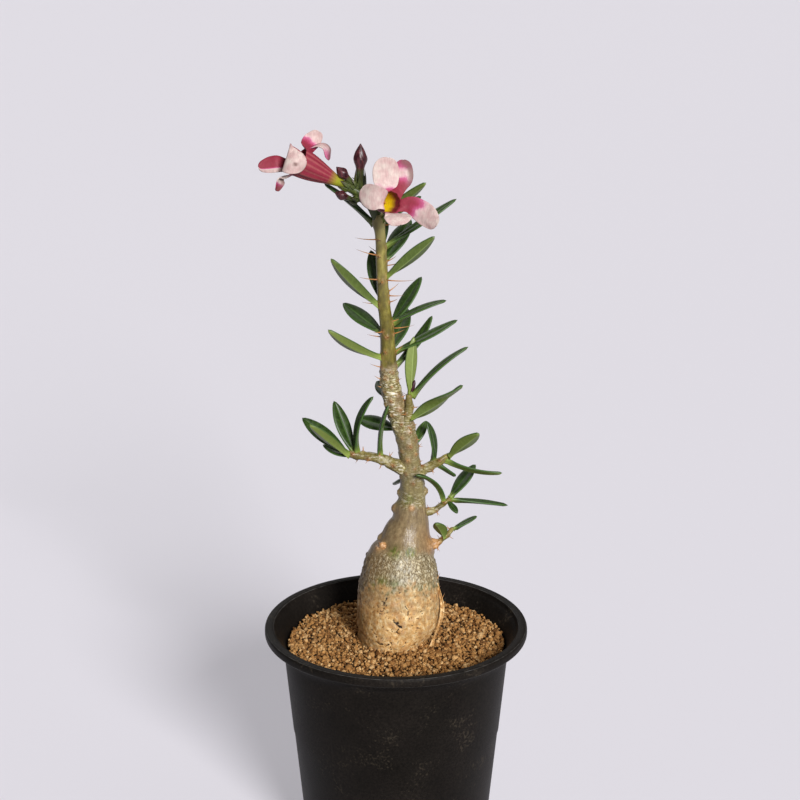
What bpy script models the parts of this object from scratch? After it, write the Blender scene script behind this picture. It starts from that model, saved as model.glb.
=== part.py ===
"""A potted pachypodium in flower: a swollen caudex with a thorny stem, four leafy side branches, two open
flowers and three buds, growing in fine clay grit in a black plastic pot.

The frame: the origin is the centre of the pot's foot, +Z is up, and the plant is seen from -Y.
A compass angle is counted from +X, anticlockwise seen from above, so 270 degrees points at the viewer.
"""

import math
import random

import bmesh
import bpy
from mathutils import Matrix, Vector, noise

MM = 0.001
GAP = 0.3 * MM  # between pieces that touch
GOLDEN_ANGLE = math.radians(137.5)  # from one leaf scar of a stem to the next
SMOOTH_BELOW = math.radians(50)  # a sharper edge than this stays crisp
SHORTEST_EDGE = 0.002 * MM

# Pot: a moulded round plastic pot, 105 mm across the rim.
POT_HEIGHT = 96 * MM
RIM_RADIUS = 52.5 * MM
RIM_BEAD = 2 * MM
WALL_TOP_RADIUS = 44.6 * MM
WALL_TOP_HEIGHT = 82 * MM
WALL_THICKNESS = 1.4 * MM
STEP_HEIGHT = 51 * MM  # a shallow step, where stacked pots catch on each other
STEP_DEPTH = 0.4 * MM
STEP_SLOPE = 0.6 * MM  # half the height that the step takes
# The flare under the rim, as (out from the top of the wall, down from the rim) in mm.
FLARE_OUTSIDE = ((3.4, 5.6), (1.1, 8.2))
FLARE_INSIDE = ((0.2, 6.8), (2.0, 3.6))
FOOT_RADIUS = 36.3 * MM
FOOT_CHAMFER = 0.8 * MM
FOOT_RING_WIDTH = 3 * MM
FLOOR_HEIGHT = 2 * MM
DRAIN_RADIUS = 6 * MM
SIDE_DRAIN_RADIUS = 3 * MM
SIDE_DRAIN_CIRCLE = 22 * MM
SIDE_DRAINS = 6
FOOT_NOTCH = 7 * MM
POT_SIDES = 48

# Soil: grit filled to just under the rim, heaped a little round the caudex.
SOIL_HEIGHT = 87.6 * MM
SOIL_HEAP = 1.5 * MM
GRAIN_HEIGHT = 0.8 * MM
SOIL_RINGS = 9

# Caudex and main stem: where the middle line passes and how thick it is, as (x, y, z, radius) in mm.
STEM_LINE = (
    (-1.8, 0.0, 62.0, 3.5),
    (-1.8, 0.0, 69.0, 9.0),
    (-1.6, 0.0, 79.0, 12.4),
    (-1.1, 0.0, 88.5, 14.0),
    (-0.1, 0.0, 94.0, 15.7),
    (1.0, 0.0, 103.0, 16.7),
    (1.3, 0.0, 111.0, 16.2),
    (1.7, 0.0, 118.5, 15.2),
    (2.7, 0.0, 124.5, 13.7),
    (3.9, 0.1, 129.5, 11.2),
    (4.4, 0.2, 134.5, 9.6),
    (5.6, 0.3, 140.0, 7.4),
    (5.9, 0.4, 145.5, 6.3),
    (6.4, 0.5, 150.0, 5.2),
    (6.3, 0.5, 157.5, 4.6),
    (5.3, 0.5, 166.0, 4.0),
    (4.3, 0.4, 174.0, 4.1),
    (2.0, 0.3, 182.5, 4.3),
    (-0.8, 0.2, 190.5, 4.0),
    (-2.4, 0.0, 199.0, 3.6),
    (-2.9, 0.0, 207.0, 3.1),
    (-3.4, 0.0, 219.0, 2.7),
    (-4.7, 0.0, 231.0, 2.3),
    (-5.3, 0.0, 243.0, 2.2),
    (-5.8, 0.0, 255.0, 2.0),
    (-6.5, 0.0, 262.0, 2.3),
    (-6.9, 0.0, 265.0, 2.1),
)
STEM_STEP = 3 * MM
STEM_SIDES = 18
BARK_UNEVENNESS = 0.03  # of the stem's own radius
# Knobs where branches and leaves have dropped, as (height, compass, radius, how far each stands out) in mm.
KNOBS = (
    (127.2, 194, 2.0, 1.5),
    (131.2, 200, 2.2, 2.4),
    (134.4, 176, 2.0, 1.0),
    (145.6, 178, 2.2, 1.4),
    (151.4, 182, 1.8, 1.3),
    (153.4, 2, 1.9, 1.5),
    (146.5, 282, 2.0, 1.0),
    (133.0, 330, 3.0, 1.2),
    (157.0, 95, 2.0, 1.3),
    (139.0, 60, 2.4, 1.5),
    (129.0, 110, 2.4, 1.5),
)
# A strip of dry skin that has peeled off the right of the caudex, as (x, y, z, radius) in mm.
PEEL_LINE = (
    (15.2, -3.0, 117.0, 0.8),
    (18.2, -4.2, 111.5, 0.8),
    (19.2, -5.2, 105.0, 0.8),
    (17.8, -6.6, 98.0, 0.8),
    (14.6, -7.8, 93.0, 0.7),
    (11.4, -7.6, 91.0, 0.7),
)

# The short spur on the right of the stem, and the four side branches, as (x, y, z, radius) in mm.
SPUR_LINE = (
    (2.6, -1.2, 178.0, 2.2),
    (4.9, -2.6, 184.0, 2.3),
    (5.7, -2.9, 189.5, 2.1),
    (5.3, -2.6, 194.0, 1.7),
)
BRANCH_LINES = {
    "branch_left": (
        (3.0, -0.6, 162.5, 3.2),
        (-1.0, -0.9, 164.4, 2.8),
        (-5.0, -1.0, 166.4, 2.2),
        (-10.0, -1.0, 167.6, 2.0),
        (-16.0, -1.0, 168.1, 1.8),
        (-18.4, -1.0, 168.9, 1.3),
    ),
    "branch_right_upper": (
        (7.0, 0.2, 158.6, 2.4),
        (10.8, 0.0, 161.4, 2.2),
        (14.0, 0.0, 163.6, 1.9),
        (17.6, 0.0, 165.6, 1.8),
        (20.6, 0.0, 167.8, 1.2),
    ),
    "branch_right_middle": (
        (8.0, 0.2, 142.6, 2.8),
        (13.0, 0.0, 144.0, 2.1),
        (16.6, 0.0, 145.6, 1.5),
        (20.0, 0.0, 148.2, 1.4),
        (21.4, 0.0, 149.8, 1.2),
    ),
    "branch_right_lower": (
        (9.0, 0.0, 129.4, 3.4),
        (15.2, 0.0, 130.6, 2.5),
        (18.6, -0.2, 132.4, 1.5),
        (21.6, -0.3, 134.8, 1.3),
        (23.6, 0.0, 137.0, 1.0),
    ),
}
BRANCH_STEP = 2.5 * MM
BRANCH_SIDES = 10

# Leaves, as (place, compass, rise, length, width, bend, roll, twist), with lengths in mm and angles in
# degrees. The place is a height in mm on the main stem, and elsewhere a share of the branch's length.
# The rise is that of the line from base to tip, and a bend below 0 makes the tip droop. A roll turns the
# blade about its midrib, and a twist turns the tip further than the base.
STEM_LEAVES = (
    (261.0, 172, 38, 24.5, 4.6, -8, 0, 0),
    (263.0, 322, 40, 27.5, 5.4, 0, -20, 0),
    (261.5, 41, 19, 21.0, 5.0, 0, 0, 0),
    (252.0, 11, 32, 33.0, 4.6, 4, 10, 0),
    (250.0, 88, 52, 19.0, 4.6, -10, 0, 0),
    (245.5, 49, 42, 21.0, 7.6, 0, 0, 0),
    (240.5, 337, 42, 27.0, 6.4, 8, -48, 0),
    (229.5, 98, 56, 21.5, 5.6, 0, 0, 0),
    (229.0, 189, 46, 27.0, 5.6, 22, 32, 0),
    (221.5, 3, 23, 23.0, 4.6, -16, 6, 0),
    (220.5, 36, 49, 22.5, 6.6, 6, 0, 0),
    (217.0, 141, 23, 22.0, 6.8, 6, -12, 0),
    (210.0, 7, 26, 27.5, 5.0, 8, 12, 0),
    (209.5, 80, 38, 21.0, 6.6, 0, 0, 0),
    (208.5, 199, 31, 25.5, 5.2, 34, 26, 0),
    (204.0, 29, 47, 24.5, 5.6, 34, 0, 0),
    (189.0, 115, 17, 14.0, 5.0, 0, -10, 0),
    (183.5, 86, 40, 18.0, 5.0, 10, 0, 0),
    (177.5, 144, 2, 20.0, 5.6, 0, -38, 0),
    (173.0, 56, 40, 15.0, 4.8, 0, 0, 0),
    (157.0, 117, -30, 14.0, 4.0, 0, -20, 0),
)
SPUR_LEAVES = (
    (0.97, 276, 73, 24.0, 4.6, 0, 0, 0),
    (0.95, 20, 75, 6.5, 1.8, 0, 0, 0),
    (0.92, 8, 41, 29.5, 4.8, -22, 0, 0),
    (0.40, 341, 37, 26.5, 6.4, 8, -58, 60),
)
BRANCH_LEAVES = {
    "branch_left": (
        (0.98, 156, 31, 23.0, 6.2, 6, -26, 0),
        (0.93, 204, 42, 22.5, 5.4, 10, 34, 0),
        (0.78, 160, 10, 15.0, 4.6, 42, -10, 0),
        (0.88, 131, 58, 22.5, 6.2, 6, 0, 0),
        (0.90, 351, 75, 25.5, 4.4, -48, 0, 0),
        (0.52, 340, 80, 23.0, 3.8, -26, 0, 0),
    ),
    "branch_right_upper": (
        (0.66, 175, 80, 17.5, 3.6, -36, 0, 0),
        (0.97, 320, 41, 19.5, 6.2, 0, -34, 0),
        (0.84, 345, -9, 23.0, 4.6, 40, -26, 0),
        (0.62, 29, -40, 11.0, 3.4, 10, 0, 0),
    ),
    "branch_right_middle": (
        (0.98, 38, 41, 17.0, 6.2, 0, 0, 0),
        (0.84, 212, 46, 19.5, 3.6, -62, 0, 0),
        (0.93, 10, -10, 24.0, 3.6, -4, 0, 0),
        (0.88, 308, -28, 7.0, 2.8, 0, 0, 0),
    ),
    "branch_right_lower": (
        (0.97, 23, 20, 11.0, 3.2, 10, 0, 0),
        (0.70, 234, 52, 10.0, 4.8, -20, 20, 0),
    ),
}
LEAF_THICKNESS = 0.8 * MM
LEAF_ROWS = 6
LEAF_FOLD = 0.28  # how far the two halves rise from the midrib, as a share of the half width
LEAF_ROOT = 0.7 * MM  # sunk into the bark

# Thorns stand in pairs, one pair to each leaf scar, long on the young growth and short on the old wood.
THORN_LENGTH = 9 * MM
THORN_RADIUS = 0.4 * MM
THORN_ROOT = 0.55  # where each starts, as a share of the stem's radius
THORN_TIP_RADIUS = 0.05 * MM
THORN_SPREAD = math.radians(42)
THORN_RISE = math.radians(8)
THORN_SPACING = 4.4 * MM
FIRST_THORN_HEIGHT = 180 * MM
OLD_THORN_SHARE = 0.25  # of a young thorn's length
YOUNG_THORN_HEIGHT = 215 * MM
BRANCH_THORN_LENGTH = 2.4 * MM
BRANCH_THORN_PAIRS = 4

# A green stalk on top of the stem forks to the flowers and buds. The lines lead to where those start, as
# (x, y, z, radius) in mm.
STALK_LINE = ((-6.6, 0.0, 263.4, 1.9), (-9.4, -0.4, 268.6, 1.9), (-12.6, -1.0, 272.4, 2.6))
STALK_FORKS = {
    "bud_tall": ((-12.4, -0.9, 272.0, 2.4),),
    "flower_left": ((-12.8, -1.0, 273.1, 2.3), (-16.0, -1.5, 275.0, 1.9)),
    "flower_right": ((-11.4, -1.1, 271.5, 2.1), (-10.3, -2.6, 270.5, 1.8)),
    "bud_upper_left": ((-13.3, -1.2, 275.2, 1.8),),
    "bud_lower_left": ((-13.1, -1.6, 272.3, 1.7),),
}
STALK_SIDES = 10
SEPALS = 5
SEPAL_LENGTHS = {
    "bud_tall": 6.5 * MM,
    "flower_left": 4 * MM,
    "flower_right": 4 * MM,
    "bud_upper_left": 3 * MM,
    "bud_lower_left": 3 * MM,
}
SEPAL_WIDTH = 1.1  # of the radius round which they stand
SEPAL_TURN = math.radians(25)  # of the first one from the flower's own right
SEPAL_THICKNESS = 0.6 * MM
SEPAL_ROOT = 1 * MM  # how far each starts behind the foot of what it holds
CUP_DEPTH = 0.8 * MM  # how far a stalk's end wraps that foot
SEPAL_GAP = 0.9 * GAP  # least room between the stalk and what it holds

# Flowers: where each tube leaves its sepals and the middle of its mouth, in mm.
FLOWERS = {
    "flower_left": ((-18.9, -2.1, 276.7), (-36.1, -6.0, 286.7)),
    "flower_right": ((-9.4, -4.8, 270.9), (-1.9, -19.0, 274.4)),
}
# The tube's outside and inside, as (share of its length, radius in mm), from the sepals to the mouth.
TUBE_OUTSIDE = ((0.02, 1.2), (0.2, 1.6), (0.4, 2.4), (0.62, 3.8), (0.85, 4.6), (1.0, 5.0))
TUBE_INSIDE = ((1.0, 4.3), (0.75, 3.4), (0.5, 1.8))
TUBE_SIDES = 14
# Lobes, as (middle line from the rim to the tip in mm from the mouth's centre, width in mm, the way the
# width runs as compass and rise, how much the sides rise towards the inner face). Each line's first point
# only says where on the rim the lobe grows.
LOBES = {
    "flower_left": (
        (
            ((0.2, -4.4, 0.0), (-4.6, -7.6, 0.8), (-1.8, -11.6, 2.0), (3.6, -11.8, 2.6)),
            11.0,
            180,
            -80,
            -0.1,
        ),
        (
            ((-3.0, 0.6, -3.0), (-7.4, -1.4, -1.8), (-12.0, -2.6, -0.8), (-15.0, -3.0, -2.0)),
            8.5,
            90,
            55,
            -0.25,
        ),
        (
            ((-1.8, 1.6, -4.0), (-5.8, 0.8, -5.2), (-7.8, 0.0, -8.0), (-8.6, -0.6, -11.4)),
            7.0,
            72,
            0,
            0.2,
        ),
        (
            ((2.2, 2.0, 3.4), (5.0, 2.6, 6.2), (7.8, 3.2, 8.6), (9.6, 3.8, 10.8)),
            8.0,
            312,
            0,
            0.1,
        ),
        (
            ((1.8, 4.0, 2.6), (4.8, 7.0, 6.2), (9.2, 8.0, 4.6), (11.0, 7.0, -0.4)),
            8.0,
            260,
            -25,
            0.0,
        ),
    ),
    "flower_right": (
        (
            ((-1.4, 1.2, 3.2), (-1.8, 3.4, 7.8), (-0.6, 4.8, 12.4), (1.2, 5.2, 16.6)),
            10.5,
            12,
            0,
            0.12,
        ),
        (
            ((1.8, 2.2, 3.0), (4.6, 4.8, 6.4), (6.2, 6.8, 10.2), (5.6, 7.6, 14.4)),
            8.0,
            40,
            -10,
            0.25,
        ),
        (
            ((-3.0, -1.6, 0.2), (-5.4, -4.2, 1.4), (-7.8, -4.6, 3.0), (-10.2, -3.0, 5.0)),
            10.5,
            0,
            65,
            0.1,
        ),
        (
            ((2.6, 1.6, -0.2), (7.4, 3.6, -1.4), (12.4, 5.0, -4.2), (17.0, 4.8, -10.0)),
            10.0,
            140,
            -68,
            -0.1,
        ),
        (
            ((0.6, -1.0, -3.4), (2.6, -5.4, -3.8), (4.2, -9.8, -4.4), (5.4, -13.0, -6.0)),
            10.0,
            197,
            0,
            0.12,
        ),
    ),
}
LOBE_THICKNESS = 0.7 * MM
LOBE_ROWS = 6
LOBE_ROOT = 0.8 * MM  # sunk into the tube's wall
# Buds: base and tip in mm, and the thickest radius.
BUDS = {
    "bud_tall": ((-13.5, -1.1, 276.8), (-13.2, -1.0, 292.4), 2.7),
    "bud_upper_left": ((-16.1, -2.2, 277.3), (-21.4, -4.0, 283.6), 1.9),
    "bud_lower_left": ((-16.8, -4.2, 272.0), (-21.2, -6.4, 274.8), 1.6),
}
BUD_SIDES = 10
BUD_NECK = 0.6  # of its thickest radius
# A bud's outline from base to tip, as (share of its length, share of its thickest radius).
BUD_OUTLINE = (
    (0, 0.45),
    (0.2, 0.52),
    (0.42, BUD_NECK),
    (0.58, 0.97),
    (0.66, 1.0),
    (0.8, 0.72),
    (0.92, 0.34),
)

# Each finish, as (colour, roughness).
FINISHES = {
    "black_plastic": ((0.012, 0.012, 0.013), 0.5),
    "clay_grit": ((0.46, 0.27, 0.11), 0.95),
    "bark": ((0.33, 0.26, 0.16), 0.8),
    "thorn": ((0.55, 0.25, 0.1), 0.5),
    "leaf": ((0.045, 0.13, 0.02), 0.4),
    "petal": ((0.75, 0.45, 0.46), 0.6),
    "bud": ((0.09, 0.01, 0.02), 0.4),
    "stalk": ((0.12, 0.16, 0.02), 0.5),
}


def clear_scene():
    for obj in list(bpy.data.objects):
        bpy.data.objects.remove(obj)


def new_collection(name):
    collection = bpy.data.collections.new(name)
    bpy.context.scene.collection.children.link(collection)
    return collection


def material(name):
    made = bpy.data.materials.get(name) or bpy.data.materials.new(name)
    colour, roughness = FINISHES[name]
    made.use_nodes = True
    shader = made.node_tree.nodes["Principled BSDF"]
    shader.inputs["Base Color"].default_value = (*colour, 1)
    shader.inputs["Roughness"].default_value = roughness
    shader.inputs["Metallic"].default_value = 0
    made.diffuse_color = (*colour, 1)
    return made


def object_of(bm, name, collection, finish):
    """The mesh as a new object, shaded smooth apart from its sharp edges."""
    bmesh.ops.recalc_face_normals(bm, faces=bm.faces[:])
    mesh = bpy.data.meshes.new(name)
    bm.to_mesh(mesh)
    bm.free()
    mesh.shade_smooth()
    mesh.set_sharp_from_angle(angle=SMOOTH_BELOW)
    mesh.materials.append(material(finish))
    made = bpy.data.objects.new(name, mesh)
    collection.objects.link(made)
    return made


def apply_modifiers(obj):
    """Makes the evaluated mesh the object's own."""
    graph = bpy.context.evaluated_depsgraph_get()
    mesh = bpy.data.meshes.new_from_object(obj.evaluated_get(graph))
    obj.modifiers.clear()
    obj.data = mesh


def turned(name, profile, sides, collection, finish):
    """A solid turned about Z from (radius, height) points, in a loop or from Z back to Z."""
    bm = bmesh.new()
    points = [bm.verts.new((radius, 0, height)) for radius, height in profile]
    for first, second in zip(points, points[1:]):
        bm.edges.new((first, second))
    if profile[0][0] > 0:
        bm.edges.new((points[-1], points[0]))
    mesh = bpy.data.meshes.new(name)
    bm.to_mesh(mesh)
    bm.free()
    guide = bpy.data.objects.new(name + "_profile", mesh)
    collection.objects.link(guide)
    screw = guide.modifiers.new("turn", "SCREW")
    screw.steps = screw.render_steps = sides
    screw.use_merge_vertices = True
    screw.merge_threshold = 0.01 * MM
    apply_modifiers(guide)
    bm = bmesh.new()
    bm.from_mesh(guide.data)
    bpy.data.objects.remove(guide)
    bmesh.ops.remove_doubles(bm, verts=bm.verts[:], dist=0.001 * MM)
    return object_of(bm, name, collection, finish)


def smooth_line(points, step):
    """A Catmull-Rom curve through points in mm, as samples in metres about a step apart."""
    samples = []
    last = len(points) - 1
    for i in range(last):
        p0, p1, p2, p3 = (Vector(points[min(max(j, 0), last)]) for j in (i - 1, i, i + 1, i + 2))
        pieces = max(1, round((p2.xyz - p1.xyz).length * MM / step))
        for k in range(pieces):
            t = k / pieces
            straight = 2 * p1 + (p2 - p0) * t
            bend = (2 * p0 - 5 * p1 + 4 * p2 - p3) * t**2 + (3 * p1 - p0 - 3 * p2 + p3) * t**3
            samples.append((straight + bend) / 2 * MM)
    samples.append(Vector(points[-1]) * MM)
    return samples


def tube(name, samples, sides, collection, finish):
    """A round tube along (x, y, z, radius) samples, with its ends closed."""
    curve = bpy.data.curves.new(name, "CURVE")
    curve.dimensions = "3D"
    curve.bevel_depth = 1
    curve.bevel_resolution = (sides - 4) // 2
    curve.use_fill_caps = True
    spline = curve.splines.new("POLY")
    spline.points.add(len(samples) - 1)
    for point, sample in zip(spline.points, samples):
        point.co = (*sample.xyz, 1)
        point.radius = sample.w
    guide = bpy.data.objects.new(name + "_line", curve)
    bpy.context.scene.collection.objects.link(guide)
    graph = bpy.context.evaluated_depsgraph_get()
    mesh = bpy.data.meshes.new_from_object(guide.evaluated_get(graph))
    bm = bmesh.new()
    bm.from_mesh(mesh)
    bpy.data.objects.remove(guide)
    bpy.data.meshes.remove(mesh)
    bmesh.ops.remove_doubles(bm, verts=bm.verts[:], dist=0.001 * MM)
    return object_of(bm, name, collection, finish)


def ribbon(name, rows, fold, thickness, collection, finish):
    """A closed blade from rows of (middle, half its width as a vector, the way its inner face looks). Where
    the width falls to nothing it ends in a point, and both faces are split into the same triangles."""
    bm = bmesh.new()
    bmesh.ops.create_grid(bm, x_segments=2, y_segments=len(rows) - 1, size=0.5)
    for vertex in bm.verts:
        middle, across, face = rows[round((vertex.co.y + 0.5) * (len(rows) - 1))]
        side = round(vertex.co.x * 2)
        vertex.co = middle + across * side + face * abs(side) * fold * across.length
    bmesh.ops.remove_doubles(bm, verts=bm.verts[:], dist=0.02 * MM)
    bmesh.ops.triangulate(bm, faces=bm.faces[:])
    made = object_of(bm, name, collection, finish)
    solid = made.modifiers.new("blade", "SOLIDIFY")
    solid.thickness = thickness
    solid.offset = 0
    apply_modifiers(made)


def cut(obj, cutter):
    bpy.context.view_layer.update()
    boolean = obj.modifiers.new("cut", "BOOLEAN")
    boolean.operation = "DIFFERENCE"
    boolean.object = cutter
    apply_modifiers(obj)


def fuse(obj, repeats):
    """Joins every object of the collection to obj, and removes the collection."""
    bpy.context.view_layer.update()
    boolean = obj.modifiers.new("fuse", "BOOLEAN")
    boolean.operation = "UNION"
    boolean.operand_type = "COLLECTION"
    boolean.collection = repeats
    boolean.material_mode = "TRANSFER"
    apply_modifiers(obj)
    for used in list(repeats.objects):
        bpy.data.objects.remove(used)
    bpy.data.collections.remove(repeats)
    drop_scraps(obj)


def drop_scraps(obj):
    """Keeps only the largest body of the mesh, without the chips that cutting and joining leave."""
    bm = bmesh.new()
    bm.from_mesh(obj.data)
    bodies = []
    unseen = set(bm.verts)
    while unseen:
        body = []
        border = [unseen.pop()]
        while border:
            vertex = border.pop()
            body.append(vertex)
            for edge in vertex.link_edges:
                other = edge.other_vert(vertex)
                if other in unseen:
                    unseen.remove(other)
                    border.append(other)
        bodies.append(body)
    bodies.sort(key=len)
    for scrap in bodies[:-1]:
        bmesh.ops.delete(bm, geom=scrap, context="VERTS")
    bmesh.ops.dissolve_degenerate(bm, edges=bm.edges[:], dist=SHORTEST_EDGE)
    bm.to_mesh(obj.data)
    bm.free()


def hide(obj):
    obj.hide_render = True
    obj.display_type = "WIRE"


def direction(compass, rise):
    """A unit vector, from angles in radians."""
    return Vector((math.cos(compass) * math.cos(rise), math.sin(compass) * math.cos(rise), math.sin(rise)))


def at_height(samples, height):
    """The line's own point and radius at a height."""
    for low, high in zip(samples, samples[1:]):
        if low.z <= height <= high.z:
            return low.lerp(high, (height - low.z) / (high.z - low.z))
    return samples[-1]


def at_share(samples, share):
    """The line's own point and radius at a share of its length."""
    place = share * (len(samples) - 1)
    first = min(int(place), len(samples) - 2)
    return samples[first].lerp(samples[first + 1], place - first)


def wall_radius(height):
    """The pot's outer radius below its step, where the wall is straight."""
    slope = (WALL_TOP_RADIUS - STEP_DEPTH - FOOT_RADIUS) / WALL_TOP_HEIGHT
    return FOOT_RADIUS + slope * height


def pot_outline():
    """The pot's wall as a closed outline of (radius, height), down its outside and up its inside."""
    step = wall_radius(STEP_HEIGHT)
    bead = []
    for degrees in (150, 90, 45, 0, -45, -90):
        angle = math.radians(degrees)
        radius = RIM_RADIUS - RIM_BEAD + RIM_BEAD * math.cos(angle)
        bead.append((radius, POT_HEIGHT - RIM_BEAD + RIM_BEAD * math.sin(angle)))
    flare_out = [(WALL_TOP_RADIUS + out * MM, POT_HEIGHT - down * MM) for out, down in FLARE_OUTSIDE]
    flare_in = [(WALL_TOP_RADIUS + out * MM, POT_HEIGHT - down * MM) for out, down in FLARE_INSIDE]
    outside = [
        (WALL_TOP_RADIUS, WALL_TOP_HEIGHT),
        (step + STEP_DEPTH, STEP_HEIGHT + STEP_SLOPE),
        (step, STEP_HEIGHT - STEP_SLOPE),
        (FOOT_RADIUS, FOOT_CHAMFER),
        (FOOT_RADIUS - FOOT_CHAMFER, 0),
        (FOOT_RADIUS - FOOT_RING_WIDTH, 0),
        (FOOT_RADIUS - FOOT_RING_WIDTH, FLOOR_HEIGHT),
        (DRAIN_RADIUS, FLOOR_HEIGHT),
    ]
    inside = [
        (DRAIN_RADIUS, FLOOR_HEIGHT + WALL_THICKNESS),
        (FOOT_RADIUS - 2 * WALL_THICKNESS, FLOOR_HEIGHT + WALL_THICKNESS),
        (FOOT_RADIUS - WALL_THICKNESS, FLOOR_HEIGHT + 2.6 * WALL_THICKNESS),
        (step - WALL_THICKNESS, STEP_HEIGHT - STEP_SLOPE),
        (WALL_TOP_RADIUS - WALL_THICKNESS, WALL_TOP_HEIGHT),
    ]
    return bead + flare_out + outside + inside + flare_in


def build_pot(collection):
    """The pot, with drain holes through its floor, and notches that let the water out under its foot."""
    pot = turned("pot", pot_outline(), POT_SIDES, collection, "black_plastic")
    cutters = new_collection("pot_cutters")
    for i in range(SIDE_DRAINS):
        angle = math.tau * (i / SIDE_DRAINS + 0.5 / POT_SIDES)
        place = Vector((math.cos(angle), math.sin(angle), 0)) * SIDE_DRAIN_CIRCLE
        place.z = FLOOR_HEIGHT + WALL_THICKNESS / 2
        bm = bmesh.new()
        bmesh.ops.create_cone(
            bm,
            cap_ends=True,
            segments=12,
            radius1=SIDE_DRAIN_RADIUS,
            radius2=SIDE_DRAIN_RADIUS,
            depth=3 * WALL_THICKNESS,
            matrix=Matrix.Translation(place),
        )
        hide(object_of(bm, f"drain_{i}", cutters, "black_plastic"))
    for i in range(2):
        turn = Matrix.Rotation(math.tau * (i / 4 + 0.5 / POT_SIDES), 4, "Z")
        size = Matrix.Diagonal((3 * FOOT_RADIUS, FOOT_NOTCH, FLOOR_HEIGHT, 1))
        bm = bmesh.new()
        bmesh.ops.create_cube(bm, size=1, matrix=turn @ size)
        hide(object_of(bm, f"notch_{i}", cutters, "black_plastic"))
    for cutter in list(cutters.objects):
        cut(pot, cutter)
        bpy.data.objects.remove(cutter)
    bpy.data.collections.remove(cutters)


def build_soil(collection):
    """The grit: turned to fill the pot, with a plain hole for the caudex and its top raised into grains."""
    lip = at_height(STEM, SOIL_HEIGHT + SOIL_HEAP + GRAIN_HEIGHT + STEM_STEP / 2)
    room = [(s.w * (1 + BARK_UNEVENNESS) + 2 * GAP, s.z) for s in STEM if s.z < SOIL_HEIGHT - 2 * MM]
    bank = lip.w * (1 + BARK_UNEVENNESS) + 2 * GAP
    floor = FLOOR_HEIGHT + WALL_THICKNESS + GAP
    above_corner = FLOOR_HEIGHT + 3 * WALL_THICKNESS
    wall = WALL_THICKNESS + 2 * GAP
    edge = wall_radius(SOIL_HEIGHT) - wall
    profile = [(0, room[0][1] - GAP), (room[0][0], room[0][1] - GAP)] + room[1:]
    for i in range(SOIL_RINGS + 1):
        profile.append((bank + (edge - bank) * i / SOIL_RINGS, SOIL_HEIGHT))
    profile += [(wall_radius(height) - wall, height) for height in (STEP_HEIGHT, above_corner)]
    profile += [(wall_radius(floor) - wall - WALL_THICKNESS, floor), (0, floor)]
    soil = turned("soil", profile, POT_SIDES, collection, "clay_grit")
    for vertex in soil.data.vertices:
        radius = math.hypot(vertex.co.x, vertex.co.y)
        if vertex.co.z > SOIL_HEIGHT - 0.1 * MM:
            near = (edge - radius) / (edge - bank)
            vertex.co.x += lip.x * near
            vertex.co.z += SOIL_HEAP * near**2
            if radius < edge - 0.1 * MM:
                vertex.co.z += random.uniform(0, GRAIN_HEIGHT)
        elif radius < bank and vertex.co.z > floor + GAP:
            vertex.co.x += at_height(STEM, max(vertex.co.z, STEM[0].z)).x
    soil.data.shade_flat()


def knob_height(height, compass):
    """How far the bark stands out of the stem's own round shape, for its knobs."""
    most = 0.0
    for knob_z, knob_compass, radius, out in KNOBS:
        turn = (compass - math.radians(knob_compass) + math.pi) % math.tau - math.pi
        along = (height - knob_z * MM) / (radius * MM)
        across = turn * at_height(STEM, knob_z * MM).w / (radius * MM)
        most = max(most, out * MM * math.exp(-1.2 * (along**2 + across**2)))
    return most


def raise_bark(obj, unevenness):
    """Gives the round stem its uneven bark and its knobs."""
    for vertex in obj.data.vertices:
        middle = at_height(STEM, vertex.co.z)
        out = vertex.co - middle.xyz
        out.z = 0
        if out.length > middle.w * 0.5:
            lump = unevenness * noise.noise(vertex.co / (9 * MM))
            knob = knob_height(vertex.co.z, math.atan2(out.y, out.x))
            vertex.co += out * lump + out.normalized() * knob


def leaf_width(t):
    """The blade's width at a share of its length: a narrow stalk, widest past the middle, and a point."""
    return max(0.3 * (1 - t), math.sin(math.pi * t**1.25) ** 0.8)


def leaf(name, stem_middle, values, collection):
    """A blade along an arc, folded a little at its midrib, with its base sunk into the stem."""
    _, compass, rise, length, width, bend, roll, twist = values
    compass, rise, bend, roll, twist = (math.radians(v) for v in (compass, rise, bend, roll, twist))
    middle = stem_middle.xyz + direction(compass, 0) * (stem_middle.w - LEAF_ROOT)
    arc = length * MM / LEAF_ROWS
    if bend:
        arc *= (bend / 2) / math.sin(bend / 2)
    rows = []
    for i in range(LEAF_ROWS + 1):
        t = i / LEAF_ROWS
        pitch = rise + bend * (t - 0.5)
        turn = Matrix.Rotation(roll + twist * t, 3, direction(compass, pitch))
        across = Vector((math.sin(compass), -math.cos(compass), 0)) * width / 2 * MM * leaf_width(t)
        rows.append((middle, turn @ across, turn @ direction(compass, pitch + math.pi / 2)))
        middle = middle + direction(compass, pitch + bend / 2 / LEAF_ROWS) * arc
    ribbon(name, rows, LEAF_FOLD, LEAF_THICKNESS, collection, "leaf")


def thorn_pair(name, place, compass, length, collection):
    """Two thorns that spread from one scar, rooted inside the bark."""
    for i, spread in enumerate((-THORN_SPREAD, THORN_SPREAD)):
        pointing = direction(compass + spread, THORN_RISE)
        root = place.xyz + direction(compass, 0) * place.w * THORN_ROOT
        whole = length + place.w * (1 - THORN_ROOT)
        turn = Vector((0, 0, 1)).rotation_difference(pointing).to_matrix().to_4x4()
        bm = bmesh.new()
        bmesh.ops.create_cone(
            bm,
            cap_ends=True,
            segments=3,
            radius1=THORN_RADIUS,
            radius2=THORN_TIP_RADIUS,
            depth=whole,
            matrix=Matrix.Translation(root + pointing * whole / 2) @ turn,
        )
        object_of(bm, f"{name}_{i}", collection, "thorn")


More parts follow.
